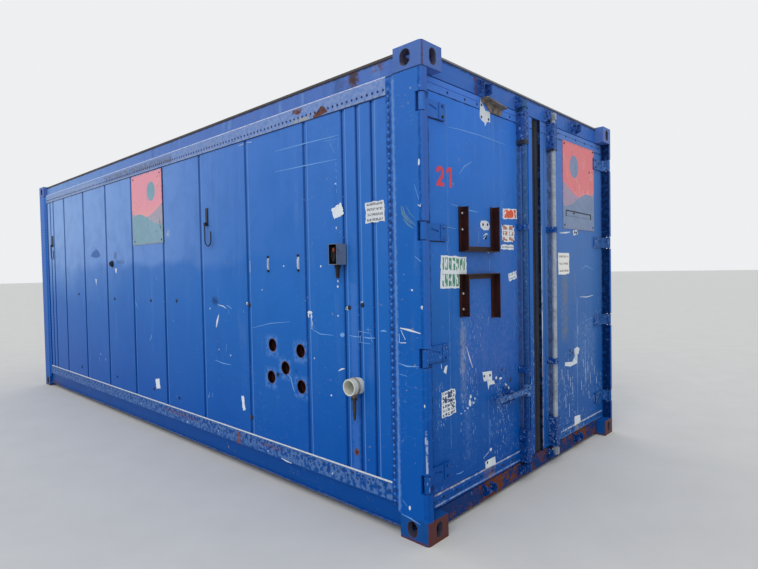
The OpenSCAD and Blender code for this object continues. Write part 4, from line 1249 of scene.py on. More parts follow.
        self.roof = WeatheredMetal(
            "roof_grey", srgb(82, 80, 82), srgb(132, 130, 128), 0.0, 0.62, 0.35, 0.6,
            smears=(
                # painted shadow along the lower part of the roof's front lip
                Smear((2.9632, -1.06, 2.40), (2.99, 1.06, 2.4265), srgb(60, 64, 78), 0.9, 0.002),
                # painted highlight along the roof's front lip
                Smear((2.9632, -1.06, 2.4265), (2.99, 1.06, 2.45), srgb(138, 140, 146), 0.7, 0.002),
                Smear((-FAR, -1.182, 2.41), (FAR, -1.172, 2.4337), srgb(68, 60, 60), 0.85, 0.0015),
            ),
        ).build()
        self.lining = WeatheredMetal(
            "lining_white", srgb(178, 178, 172), srgb(206, 206, 200), 0.0, 0.5, 0.0, 0.5).build()
        self.pin = WeatheredMetal("pin_steel", srgb(50, 42, 40), srgb(96, 84, 78), 0.4, 0.55, 0.6, 1.5).build()
        self.iron = WeatheredMetal("dark_iron", srgb(16, 22, 34), srgb(44, 54, 72), 0.0, 0.5, 0.2, 2.0).build()
        self.rack = WeatheredMetal("rack_brown", srgb(22, 8, 8), srgb(60, 24, 20), 0.0, 0.5, 0.16, 2.0).build()
        black_inside = Smear((2.4107, -1.4, 1.3862), (2.4713, -1.1, 1.4938), srgb(12, 14, 18), 0.97, 0.0003)
        self.box = WeatheredMetal(
            "box_grey", srgb(84, 98, 122), srgb(124, 138, 160), 0.0, 0.5, 0.1, 2.0, smears=(black_inside,)).build()
        self.clamp = WeatheredMetal(
            "clamp_brown", srgb(88, 76, 66), srgb(184, 180, 168), 0.0, 0.6, 0.25, 4.0,
            smears=(Smear((2.3, -FAR, 0.4), (2.8, FAR, 0.672), srgb(26, 24, 20), 0.92, 0.008),
                    Smear((2.3, -FAR, 0.672), (2.8, FAR, 0.69), srgb(84, 60, 46), 0.8, 0.008))).build()
        # painted shade of the dent in the wall
        self.dent = DullPlastic("dent_shade_blue", srgb(60, 104, 178), srgb(44, 84, 160), 0.6, 0.5).build()
        self.rivet_worn = DullPlastic("worn_rivet_blue", srgb(88, 130, 200), srgb(30, 70, 140), 0.7, 0.6).build()
        self.bolt = WeatheredMetal("pale_bolt", srgb(176, 176, 176), srgb(222, 220, 214), 0.1, 0.45, 0.1, 3.0).build()
        self.dark_bolt = WeatheredMetal("dark_bolt", srgb(18, 20, 30), srgb(44, 46, 58), 0.1, 0.6, 0.25, 3.0).build()
        # dark rivet heads: painted shade standing for the rivets' shadows
        self.rivet = WeatheredMetal("rivet_blue", srgb(8, 26, 76), srgb(34, 68, 132), 0.0, 0.5, 0.25, 6.0).build()
        self.bracket = WeatheredMetal(
            "torn_bracket", srgb(26, 22, 24), srgb(168, 156, 146), 0.1, 0.7, 0.45, 3.6, 0.003).build()
        self.primer = DullPlastic("bare_primer", srgb(214, 222, 230), srgb(150, 164, 186), 0.5, 0.6).build()
        self.scratch = DullPlastic("scratched_blue", srgb(112, 164, 224), srgb(80, 130, 200), 0.5, 0.6).build()
        self.smudge = DullPlastic("grey_green_smudge", srgb(84, 130, 168), srgb(44, 100, 172), 1.0, 0.6).build()
        self.rusted = WeatheredMetal("rust_patch", srgb(64, 42, 40), srgb(132, 82, 68), 0.0, 0.8, 0.25, 5.0).build()
        self.seal = SoftBlack("door_seal", srgb(24, 28, 42), srgb(44, 50, 68), 0.3, 0.055).build()
        self.black = SoftBlack("black_trim").build()
        self.pipe = DullPlastic("white_pipe", srgb(214, 216, 206), srgb(140, 138, 120), 0.4).build()
        self.trim = WeatheredMetal("bare_trim", srgb(160, 172, 192), srgb(222, 228, 234), 0.1, 0.4, 0.05, 3.0).build()
        self.sleeve = SoftBlack("rusty_sleeve", srgb(34, 14, 14), srgb(72, 30, 26), 0.2).build()
        self.floor = FloorPlate("floor_plate").build()
        self.red_paint = DullPlastic("red_number_paint", srgb(212, 66, 88), srgb(140, 72, 128), 0.5, 0.5).build()
        self.red_lamp = DullPlastic("red_terminal", srgb(142, 66, 54), srgb(60, 40, 36), 0.6).build()


@dataclass
class Dressing:
    """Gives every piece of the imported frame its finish."""

    finishes: Finishes

    def dress(self) -> None:
        """Assigns the materials to the frame's nodes."""
        f = self.finishes
        side = PrintedSheet(
            "side_placard_print", 0, -0.310, 1.608, 0.595, 0.612,
            srgb(232, 156, 172), srgb(238, 176, 162), srgb(134, 172, 190),
        ).build()
        door = PrintedSheet(
            "door_placard_print", 1, 0.461, 1.622, 0.560, 0.628,
            srgb(230, 132, 138), srgb(236, 150, 160), srgb(134, 152, 184), flip=True,
        ).build()
        table = {
            "bottom_corner_fittings": f.fitting_low, "top_corner_fittings": f.fitting_high,
            "door_end_posts": f.frame, "closed_end_posts": f.frame, "door_header": f.header, "door_sill": f.sill,
            "closed_end_rails": f.frame, "top_side_rails": f.top_rail, "bottom_side_rails": f.low_rail,
            "roof_panel": f.roof, "roof_lining": f.lining, "left_wall": f.wall, "hose_panel": f.wall,
            "left_wall_end_panel": f.wall, "right_wall": f.wall, "end_wall": f.plain_wall,
            "floor_deck": f.floor, "floor_crossmembers": f.low_rail, "hinge_pins": f.pin, "cam_keepers": f.gear,
            "junction_box": f.box, "cable_gland": f.black, "wall_hooks": f.iron, "drain_pipe": f.pipe,
            "pipe_clamp": f.clamp, "pipe_coupling": f.iron, "side_placard": side, "wall_latches": f.trim,
            "left_door_leaf": f.left_leaf, "left_door_seal": f.seal, "left_hinge_blades": f.blades,
            "left_rod_guides": f.gear, "angle_racks": f.rack, "bent_bracket": f.bracket, "handle_catch": f.gear,
            "right_door_leaf": f.right_leaf, "right_door_seal": f.seal, "right_hinge_blades": f.far_blades,
            "right_rod_guides": f.gear, "door_placard": door, "left_lock_rod": f.rod, "left_lock_handle": f.handle,
            "right_lock_rod": f.zinc,
        }
        for name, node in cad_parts.items():
            node.data.materials.clear()
            node.data.materials.append(table[name])
            log.info("%s dressed in %s", name, table[name].name)


# Sub-assemblies


@dataclass(frozen=True)
class Side:
    """One flat side that carries marks, which are drawn in mm along it and upwards."""

    facing: Facing
    face: float
    body: Body

    def spot(self, across: float = 0.0, up: float = 0.0, proud: float = 0.0) -> Matrix:
        """Where a piece drawn flat comes to stand.

        Args:
            across: place along the side, in mm.
            up: height, in mm.
            proud: distance in front of the side, in mm.

        Returns:
            The matrix, in metres.
        """
        level = self.face + proud
        if self.facing is Facing.DOORS:
            return at(self.facing, level, across, up)
        return at(self.facing, across, -level, up)

    def heads(self, name: str, spots: Sequence[Spot], head: Piece, material: Material, slot: str) -> None:
        """Copies of one head on this side.

        Args:
            name: the piece's name.
            spots: places, in mm.
            head: the pattern.
            material: finish.
            slot: not used.
        """
        keep(Bench.scatter(head, [self.spot(*spot) for spot in spots]), name, self.body, material)

    def drawn(self, name: str, pieces: Sequence[Piece], material: Material, slot: str) -> None:
        """Flat patches and strokes, put on this side as one piece.

        Args:
            name: the piece's name.
            pieces: patches and strokes as the bench draws them.
            material: finish.
            slot: not used.
        """
        joined = Bench.join(pieces)
        joined.data.transform(self.spot())
        keep(joined, name, self.body, material)

    def label(self, name: str, middle: Spot, size: Spot, finish: Label, tilt: float = 0.0, seed: int = 3) -> None:
        """One stuck label.

        Args:
            name: the piece's name.
            middle: its middle, in mm.
            size: width and height, in mm.
            finish: its print.
            tilt: turn in its plane, in degrees.
            seed: picks its outline.
        """
        sheet = Bench.sticker(size[0] * MM, size[1] * MM, seed=seed, tilt=tilt)
        sheet.data.transform(self.spot(*middle, 0.1))
        keep(sheet, name, self.body, finish.build())


def blot(across: float, up: float, width: float, height: float, seed: int, corners: int = 9) -> Piece:
    """A small rounded patch with an uneven edge.

    Args:
        across: middle along the side, in mm.
        up: middle height, in mm.
        width: size across, in mm.
        height: size upwards, in mm.
        seed: picks its outline.
        corners: number of corners.

    Returns:
        The piece.
    """
    dice = random.Random(seed)
    turns = [2 * math.pi * i / corners for i in range(corners)]
    reach = [dice.uniform(0.75, 1.1) / 2 for _ in turns]
    return Bench.patch([
        (across + width * r * math.cos(t), up + height * r * math.sin(t)) for t, r in zip(turns, reach)])


@dataclass
class Rivets:
    """Rivet rows on the long bands and the post flanges; the darker heads are painted shade."""

    finishes: Finishes
    radius: float = 7.5
    rise: float = 3.0
    band_face: float = 1209.0
    band_end: float = 2774.0
    upper_pitch: float = 38.0
    upper_level: float = 2259.0
    lower_pitch: float = 80.0
    lower_levels: Spot = (212.0, 237.0)
    flange_x: float = 2810.0
    flange_pitch: float = 36.0
    flange_foot: float = 150.0
    flange_head: float = 2300.0
    worn_share: float = 0.8
    worn_inset: float = 4.0

    def line(self, name: str, facing: Facing, start: Point, step: Point, count: int, worn: bool = False) -> None:
        """One row of rivets.

        Args:
            name: the piece's name.
            facing: the side that the row is on.
            start: first rivet, in mm.
            step: distance to the next, in mm.
            count: number of rivets.
            worn: whether they are lighter and smaller.
        """
        head = Bench.head(self.radius * MM * (self.worn_share if worn else 1.0), self.rise * MM, 6)
        head.data.transform(at(facing, *start))
        Bench.row(head, count, tuple(s * MM for s in step))
        keep(head, name, Body.CABIN, self.finishes.rivet_worn if worn else self.finishes.rivet)

    def build(self) -> None:
        """Lays out the rows on both long sides and all four posts."""
        tall = int((self.flange_head - self.flange_foot) / self.flange_pitch)
        for side, facing in ((-1, Facing.LEFT), (1, Facing.RIGHT)):
            word = "left" if side < 0 else "right"
            rows = ((self.upper_level, self.upper_pitch, 0.0), (self.lower_levels[0], self.lower_pitch, 0.0),
                    (self.lower_levels[1], self.lower_pitch, self.lower_pitch / 2))
            for index, (level, pitch, shift) in enumerate(rows):
                count = int((2 * self.band_end - shift) / pitch) + 1
                self.line(f"{word}_band_rivets_{index + 1}", facing,
                          (self.band_end - shift, side * self.band_face, level), (-pitch, 0, 0), count)
            for end in (-1, 1):
                place = "door" if end > 0 else "closed"
                for worn, lift in ((False, 0.0), (True, self.flange_pitch / 2)):
                    x = end * (self.flange_x - self.worn_inset * worn)
                    self.line(f"{word}_{place}_post_rivets{'_worn' * worn}", facing,
                              (x, side * self.band_face, self.flange_foot + lift),
                              (0, 0, self.flange_pitch), tall, worn)


@dataclass
class WallMarks:
    """Plugs, hole rims, bare patches, scratches and stuck labels on the left side."""

    finishes: Finishes
    wall: Side = Side(Facing.LEFT, 1205.0, Body.CABIN)
    band: Side = Side(Facing.LEFT, 1209.0, Body.CABIN)
    post: Side = Side(Facing.LEFT, 1219.0, Body.CABIN)
    rim_size: Point = (0.0435, 0.0402, 0.0008)
    sleeve_size: Point = (0.0398, 0.0335, 0.034)
    sleeve_depth: float = 62.0
    latch_columns: Spot = (1751, 2057)
    latch_rows: Spot = (1357, 1445)
    plugs: tuple[Spot, ...] = (
        (-1763, 1146), (-776, 1117), (17, 1122), (488, 1132), (1521, 1131), (2493, 1147), (2595, 1164),
        (-1740, 352), (-774, 363), (32, 357), (488, 346), (1520, 369),
    )
    chips: tuple[Spot, ...] = (
        (1673, 1235), (1911, 1385), (2261, 1378), (2400, 1589), (2400, 1833), (1118, 796), (1274, 768), (1007, 1089),
        (-1186, 541), (2186, 838), (2404, 1292), (2402, 1262), (954, 429), (1500, 1136), (2470, 1140), (2588, 1172),
        (2399, 1098), (2330, 640),
    )

    def holes(self) -> None:
        """Worn rims and rusty sleeves of the hose holes, and the plugs and latch ends on the wall."""
        f = self.finishes
        rims = Bench.scatter(Bench.ring(*self.rim_size), [self.wall.spot(*spot) for spot in HOSE_HOLES])
        keep(rims, "hose_hole_rims", Body.CABIN, f.rusted)
        sleeve = Bench.ring(*self.sleeve_size)
        sleeves = Bench.scatter(sleeve, [self.wall.spot(*spot, -self.sleeve_depth) for spot in HOSE_HOLES])
        keep(sleeves, "hose_hole_sleeves", Body.CABIN, f.sleeve)
        ends = [(x, z) for x in self.latch_columns for z in self.latch_rows]
        self.wall.heads("latch_ends", ends, Bench.head(0.0085, 0.010, 10, 0.3), f.dark_bolt, "dark_iron")
        self.wall.heads("wall_plugs", self.plugs, Bench.head(0.013, 0.005, 12, 0.35), f.dark_bolt, "dark_iron")

    def worn_places(self) -> None:
        """Bare patches, scratches, rust spots and the painted shade of a dent on the wall and the bands."""
        f, b = self.finishes, Bench
        white = [blot(x, z, 11 + i % 3 * 2, 10 + i % 4 * 2, 40 + i, 5 + i % 3) for i, (x, z) in enumerate(self.chips)]
        white += [
            b.stroke(((1445, 2206), (1499, 2210)), 8), b.stroke(((1545, 2211), (1596, 2205)), 7),
            b.stroke(((1542, 1425), (1540, 1350)), 10), blot(2155, 1106, 44, 20, 5, 9), blot(2142, 1088, 14, 30, 8, 7),
            blot(2168, 1084, 14, 30, 15, 7), b.stroke(((2165, 1075), (2172, 1050), (2170, 1010)), 7),
            b.stroke(((1127, 1047), (1104, 1000), (1087, 955)), 22),
            b.stroke(((1122, 1120), (1190, 1112), (1232, 1096)), 7),
            b.patch(((-1268, 1312), (-1232, 1308), (-1240, 1268), (-1246, 1240), (-1254, 1272))),
            b.patch(((-752, 1408), (-700, 1410), (-712, 1368), (-728, 1362))),
            b.stroke(((2394, 787), (2420, 800), (2445, 806)), 9),
            blot(1497, 1140, 20, 24, 71, 8), blot(2476, 1142, 20, 22, 72, 8), blot(2590, 1175, 18, 20, 73, 8),
        ]
        self.wall.drawn("wall_bare_patches", white, f.primer, "bare_trim")
        faint = [
            b.stroke(((1845, 2102), (2140, 2101), (2432, 2096)), 6),
            b.stroke(((1840, 1975), (2120, 1972), (2413, 1967)), 6),
            *(b.stroke(((2407, 1950 - 37 * i), (2408, 1932 - 37 * i)), 7) for i in range(5)),
            b.stroke(((2310, 2083), (2421, 2078)), 5), b.stroke(((2353, 2076), (2398, 2004)), 5),
            b.stroke(((2432, 2086), (2425, 2018)), 5), b.stroke(((2395, 2070), (2372, 2050)), 5),
            b.stroke(((1063, 712), (1170, 700), (1271, 700)), 7), b.stroke(((2152, 1014), (2244, 985), (2357, 985)), 5),
            b.stroke(((2170, 1060), (2200, 1010)), 5), b.stroke(((2560, 1022), (2640, 1016)), 8),
            b.stroke(((2560, 962), (2645, 960)), 8), b.stroke(((2562, 1020), (2562, 964)), 7),
            b.stroke(((1925, 712), (1960, 690), (1975, 640), (1990, 610)), 8),
            b.stroke(((-1000, 1540), (-985, 1480)), 6), b.stroke(((1118, 804), (1119, 788)), 9),
            b.stroke(((1219, 843), (1217, 794)), 7), b.stroke(((1270, 778), (1268, 756)), 9),
            b.stroke(((927, 700), (929, 684)), 9), b.stroke(((971, 462), (960, 436), (952, 413)), 7),
            b.stroke(((1015, 468), (1006, 427)), 7), b.stroke(((1227, 1121), (1266, 1112), (1306, 1097)), 7),
            b.stroke(((1262, 1090), (1260, 1058)), 7), b.stroke(((1444, 1097), (1449, 1074)), 9),
            b.stroke(((2616, 1034), (2656, 1034)), 6), b.stroke(((2632, 1046), (2634, 1019)), 7),
            blot(2430, 993, 40, 26, 6), b.stroke(((2592, 992), (2640, 990), (2683, 994)), 8),
            b.stroke(((2722, 1033), (2745, 1036), (2765, 1034)), 10),
            b.stroke(((2575, 999), (2572, 961)), 8), b.stroke(((2650, 1020), (2660, 968)), 6),
            b.stroke(((2490, 994), (2530, 990), (2575, 992)), 6),
            b.stroke(((1545, 977), (1755, 1020), (1963, 1041)), 4), blot(-1191, 546, 20, 18, 81, 7),
            b.stroke(((-1219, 504), (-1217, 470)), 12), blot(-1056, 504, 18, 24, 82, 7),
            b.stroke(((-1479, 486), (-1477, 455)), 12), b.stroke(((-1468, 1136), (-1472, 1066)), 12),
            b.stroke(((-1195, 1142), (-1190, 1070)), 12), b.stroke(((-310, 1124), (-288, 1086), (-256, 1044)), 9),
            b.stroke(((139, 1326), (138, 1300)), 12), b.stroke(((14, 832), (2, 802), (-30, 772)), 11),
            b.stroke(((408, 976), (426, 962)), 10), b.stroke(((-1633, 1124), (-1636, 1013)), 12),
        ]
        self.wall.drawn("wall_scratches", faint, f.scratch, "wall_paint")
        # painted shade of the half-moon dent
        moon = b.patch(((-1376, 1546), (-1330, 1582), (-1262, 1602), (-1196, 1606), (-1146, 1586), (-1108, 1540),
                        (-1180, 1526), (-1280, 1530)))
        self.wall.drawn("wall_dent_shade", [moon], f.dent, "wall_paint")
        rust = [blot(2529, 357, 42, 44, 9, 11), blot(1508, 371, 30, 26, 10)]
        self.wall.drawn("wall_rust_spot", rust, f.rusted, "bare_trim")
        self.wall.heads("rusty_hole", [(2531, 356, 0.5)], b.head(0.0085, 0.0016, 12, 0.2), f.sleeve, "dark_iron")
        torn = b.patch((
            (2222, 2238), (2262, 2262), (2296, 2284), (2322, 2276), (2352, 2242), (2300, 2234), (2241, 2229)))
        self.band.drawn("band_rust_patch", [torn, blot(2085, 2290, 60, 20, 12)], f.rusted, "bare_trim")
        rail = [b.stroke(((1845, 168), (1895, 161), (1950, 159)), 9), blot(1700, 182, 12, 10, 14),
                blot(620, 178, 16, 9, 16), blot(2330, 190, 10, 12, 17),
                blot(1085, 196, 12, 9, 18), blot(-240, 186, 16, 10, 19)]
        self.band.drawn("band_bare_patches", rail, f.primer, "bare_trim")

    def post_marks(self) -> None:
        """Scratches and a smudge on the near post."""
        f, b = self.finishes, Bench
        white = [
            b.stroke(((2868, 1059), (2930, 1052), (3000, 1040)), 11), b.stroke(((2874, 1050), (2902, 1003)), 8),
            b.stroke(((2868, 985), (2907, 988)), 11), blot(3006, 1861, 12, 34, 21),
            b.stroke(((2862, 1030), (2864, 985)), 6), blot(2950, 1249, 12, 12, 22),
            b.stroke(((2995, 1660), (3010, 1650), (3014, 1662)), 7), blot(2912, 163, 14, 26, 23),
            b.stroke(((3018, 540), (3017, 505)), 7), blot(3017, 690, 8, 18, 24), blot(3010, 1166, 12, 20, 25),
        ]
        self.post.drawn("post_bare_patches", white, f.primer, "bare_trim")
        faint = [
            b.stroke(((2856, 881), (2910, 872), (2983, 877)), 7), b.stroke(((2972, 1412), (3009, 1386)), 8),
            b.stroke(((2975, 1758), (3002, 1683)), 6), b.stroke(((2862, 828), (2910, 822)), 6),
            b.stroke(((2858, 118), (2920, 112), (2977, 100)), 6), b.stroke(((2868, 190), (2895, 168)), 6),
        ]
        self.post.drawn("post_scratches", faint, f.scratch, "frame_paint")
        smudge = [b.stroke(((2889, 1662), (2898, 1626), (2922, 1596), (2955, 1572)), 13, 0.5),
                  b.stroke(((2900, 1662), (2912, 1622), (2944, 1590), (2978, 1562)), 9, 0.5),
                  b.stroke(((2902, 1600), (2930, 1570), (2966, 1548)), 10, 0.4),
                  b.stroke(((2918, 1664), (2946, 1622), (2980, 1592)), 6)]
        self.post.drawn("post_smudge", smudge, f.smudge, "frame_paint")

    def build(self) -> None:
        """Makes every mark."""
        self.holes()
        self.worn_places()
        self.post_marks()
        white = Label("plain_white_label", srgb(224, 232, 240), torn=0.1)
        printed = Label("printed_label", rows=4, marks=13)
        self.wall.label("printed_wall_label", (2697, 1653), (134, 108), printed, 0.5, 4)
        self.wall.label("tilted_wall_label", (2414, 1680), (84, 66), white, 17.0, 5)
        self.wall.label("low_white_label", (105, 412), (74, 84), white, 12.0, 6)
        self.wall.label("slim_white_label", (1420, 452), (30, 96), white, 10.0, 7)


@dataclass
class DoorMarks:
    """Labels, numbers, bolts, rivets and bare patches on the two leaves, and painted shadow lines under the left hinge
    blades.
    """

    finishes: Finishes
    left: Side = Side(Facing.DOORS, 2963.0, Body.LEFT_DOOR)
    right: Side = Side(Facing.DOORS, 2963.0, Body.RIGHT_DOOR)
    pad_rise: float = 14.0
    hinge_levels: tuple[float, ...] = (301.0, 918.0, 1535.0, 2152.0)
    left_pad: float = -985.0
    right_pad: float = 1031.0
    left_strip: tuple[float, ...] = (-1130, -920, -759, -640, -385, -276, -90)
    right_strip: tuple[float, ...] = (396, 523, 690, 856, 996, 1120)
    strip_pitch: float = 118.0
    placard: Side = Side(Facing.LEFT, 1208.0, Body.CABIN)
    door_placard: Side = Side(Facing.DOORS, 2966.0, Body.RIGHT_DOOR)
    edge_bead: Side = Side(Facing.DOORS, 2970.0, Body.RIGHT_DOOR)
    left_screw_holes: tuple[tuple[float, ...], ...] = (
        (-593, 2272, 0.5), (-595, 2204, 0.5), (-519, 2204, 0.5), (-593, 1597, 0.5), (-545, 1599, 0.5),
        (-601, 732, 0.5), (-539, 727, 0.5), (-580, 226, 0.5), (-405, 738), (-310, 655), (-300, 668),
    )
    right_screw_holes: tuple[tuple[float, ...], ...] = (
        (600, 712), (560, 700), (660, 1600, 0.5), (560, 735), (688, 1598, 0.5),
    )
    streaks: tuple[Spot, ...] = (
        (420, 620), (452, 560), (520, 600), (560, 540), (600, 470), (800, 640), (842, 560), (880, 610), (930, 520),
        (960, 640), (1010, 560), (1050, 470), (760, 480), (700, 900), (480, 420), (540, 350), (900, 380), (1000, 330),
    )

    def number(self) -> None:
        """The painted number 21 on the left leaf, drawn with a broad brush."""
        b = Bench
        two = b.stroke(((-1019, 1843), (-1015, 1858), (-1002, 1867), (-985, 1867), (-974, 1857), (-972, 1841),
                        (-979, 1824), (-995, 1807), (-1009, 1792), (-1016, 1783)), 22, 1.0)
        foot = b.patch(((-1028, 1774), (-960, 1774), (-960, 1795), (-1022, 1795)), 0.0009)
        stem = b.patch(((-915, 1776), (-892, 1776), (-892, 1881), (-915, 1881)))
        flag = b.patch(((-915, 1881), (-938, 1866), (-938, 1846), (-915, 1858)))
        self.left.drawn("painted_number", [two, foot, stem, flag], self.finishes.red_paint, "door_paint")

    def fixings(self) -> None:
        """Bolts of the blades and racks, rivets of the end strips, screws of the placards and painted shadow lines
        under the left hinge blades.
        """
        f = self.finishes
        for side, pad in ((self.left, self.left_pad), (self.right, self.right_pad)):
            spots = [(pad, level + lift, self.pad_rise) for level in self.hinge_levels for lift in (-27, 27)]
            side.heads(f"{side.body.value}_blade_bolts", spots, Bench.head(0.009, 0.006, 6, 0.2), f.gear, "frame_paint")
        left = [(y, 2266) for y in self.left_strip] + [(-1120 + self.strip_pitch * i, 166) for i in range(10)]
        self.left.heads("left_strip_rivets", left, Bench.head(0.007, 0.003, 8), f.dark_bolt, "door_paint")
        right = [(y, 2282) for y in self.right_strip] + [(360 + self.strip_pitch * i, 150) for i in range(7)]
        self.right.heads("right_strip_rivets", right, Bench.head(0.007, 0.003, 8), f.dark_bolt, "door_paint")
        rack = [(-808, z, 5.0) for z in (1648, 1560, 1214, 1129)]
        self.left.heads("rack_bolts", rack, Bench.head(0.0065, 0.005, 6, 0.25), f.bolt, "bare_trim")
        dark = [Bench.stroke(((505, 1754), (700, 1750), (957, 1744)), 9, 0.8),
                Bench.stroke(((508, 1716), (952, 1711)), 4), blot(509, 1734, 16, 54, 51),
                blot(953, 1728, 20, 50, 52), blot(640, 1738, 30, 14, 53)]
        self.door_placard.drawn("placard_bar_trace", dark, f.dark_bolt, "dark_iron")
        # painted shadow lines under the lower edges of the left hinge blades
        edge = [Bench.stroke(((-1158, level - 45), (-1040, level - 45), (-958, level - 45)), 6, 0.7)
                for level in self.hinge_levels[1:]]
        self.left.drawn("left_blade_shadows", edge, f.dark_bolt, "dark_iron")
        corners = [(y, z, 3.0) for y, z in ((484, 1648), (998, 1648), (484, 2228), (998, 2236), (930, 2072))]
        self.right.heads("door_placard_screws", corners, Bench.head(0.008, 0.003, 10, 0.3), f.dark_bolt, "dark_iron")
        places = [(-270, 2192), (250, 2190), (-262, 1642), (258, 1636)]
        self.placard.heads("side_placard_screws", places, Bench.head(0.008, 0.003, 10, 0.3), f.dark_bolt, "dark_iron")
        plate = [(-376, 1602), (-248, 1602), (-376, 1512), (-248, 1512)]
        self.left.heads("row_plate_screws", plate, Bench.head(0.006, 0.003, 8, 0.3), f.dark_bolt, "dark_iron")

    def bare_patches(self) -> None:
        """White torn patches and scratches on both leaves, with the holes of lost fittings."""
        f, b = self.finishes, Bench
        white = [
            b.patch(((-603, 2305), (-604, 2276), (-610, 2240), (-611, 2200), (-590, 2184), (-564, 2178), (-556, 2158),
                     (-542, 2182), (-525, 2191), (-503, 2189), (-502, 2251), (-551, 2247))),
            b.patch(((-622, 1600), (-612, 1618), (-560, 1621), (-534, 1612), (-523, 1590), (-535, 1568), (-584, 1565),
                     (-617, 1580))),
            b.patch(((-618, 757), (-519, 750), (-516, 694), (-560, 698), (-606, 702))),
            b.patch(((-570, 702), (-500, 690), (-485, 668), (-548, 672), (-558, 645))),
            b.patch(((-600, 236), (-566, 240), (-494, 240), (-488, 192), (-598, 196))),
            b.stroke(((-592, 1533), (-560, 1546), (-540, 1542)), 8),
            b.stroke(((-552, 1540), (-590, 1514), (-560, 1516)), 8),
            b.stroke(((-776, 920), (-745, 850), (-718, 797)), 7), blot(-538, 1442, 26, 16, 31),
            b.stroke(((-1098, 936), (-1040, 945), (-978, 945)), 7),
            b.patch(((-975, 842), (-955, 846), (-968, 800), (-990, 815))),
            b.stroke(((-1010, 860), (-1006, 835)), 9), blot(-750, 606, 24, 44, 32), blot(-742, 640, 18, 22, 33),
            blot(-715, 600, 14, 12, 74, 6), blot(-700, 622, 12, 16, 75, 6), blot(-772, 582, 18, 9, 76, 6),
            blot(-800, 572, 12, 8, 77, 5), blot(-835, 565, 10, 8, 78, 5), blot(-540, 292, 26, 20, 34),
            blot(-1000, 268, 12, 20, 35), b.stroke(((-560, 285), (-620, 262)), 5),
            blot(-470, 700, 20, 18, 36), blot(-420, 690, 34, 14, 37),
            b.patch(((-370, 655), (-320, 620), (-330, 590), (-365, 600))),
        ]
        self.left.drawn("left_leaf_bare_patches", white, f.primer, "bare_trim")
        self.left.heads("left_leaf_screw_holes", self.left_screw_holes, b.head(0.0085, 0.0012, 8, 0.2), f.dark_bolt,
                        "dark_iron")
        faint = [b.stroke(((-822, 1857), (-770, 1905), (-697, 1938)), 6), b.stroke(((-524, 1400), (-528, 1330)), 7),
                 b.stroke(((-640, 1560), (-640, 1490)), 6), b.stroke(((-900, 1690), (-720, 1668), (-640, 1664)), 6),
                 b.stroke(((-812, 915), (-800, 870), (-783, 842)), 7), b.stroke(((-546, 470), (-550, 330)), 6),
                 b.stroke(((-940, 1568), (-942, 1440)), 8), b.stroke(((-940, 1568), (-860, 1562)), 6),
                 b.stroke(((-925, 2090), (-780, 2096), (-640, 2097), (-500, 2095), (-337, 2089)), 4),
                 b.stroke(((-975, 316), (-955, 322), (-940, 304), (-950, 288), (-966, 286)), 5),
                 b.stroke(((-949, 285), (-949, 255)), 5),
                 b.stroke(((-893, 251), (-852, 244), (-821, 247)), 5), b.stroke(((-1036, 272), (-1034, 250)), 7),
                 b.stroke(((-1018, 222), (-1018, 202)), 7), b.stroke(((-978, 208), (-978, 186)), 7),
                 b.stroke(((-916, 192), (-918, 172)), 6), b.stroke(((-700, 470), (-704, 440)), 6),
                 b.stroke(((-620, 520), (-618, 496)), 6)]
        self.left.drawn("left_leaf_scratches", faint, f.scratch, "door_paint")
        other = [
            b.patch(((633, 738), (690, 748), (730, 732), (708, 692), (640, 693))),
            b.patch(((655, 695), (690, 690), (684, 626), (560, 618), (470, 636), (478, 660), (600, 648))),
            b.patch(((631, 236), (731, 228), (738, 172), (629, 166))),
            b.stroke(((405, 1587), (500, 1592), (580, 1600)), 12),
            b.patch(((628, 1612), (700, 1622), (716, 1590), (640, 1575))),
            b.stroke(((744, 1119), (870, 1112), (1003, 1120)), 7),
            *(b.stroke(((y, z), (y + 6, z - 60 - y % 50)), 9) for y, z in self.streaks),
        ]
        self.right.drawn("right_leaf_bare_patches", other, f.primer, "bare_trim")
        edge = [blot(111, 1085, 13, 60, 61), b.stroke(((110, 1560), (113, 1380), (109, 1200)), 7),
                b.stroke(((112, 1180), (110, 1060), (114, 960), (111, 860)), 8), b.stroke(((113, 840), (110, 700)), 5)]
        self.edge_bead.drawn("right_leaf_worn_edge", edge, f.primer, "bare_trim")
        more = [b.stroke(((775, 1321), (850, 1352), (904, 1345), (1007, 1318)), 6),
                b.stroke(((850, 930), (1000, 945)), 6), b.stroke(((830, 800), (835, 600), (828, 420)), 8),
                b.stroke(((430, 1420), (440, 1400)), 6)]
        self.right.drawn("right_leaf_scratches", more, f.scratch, "door_paint")
        self.right.heads("right_leaf_screw_holes", self.right_screw_holes, b.head(0.011, 0.0012, 8, 0.2), f.dark_bolt,
                         "dark_iron")

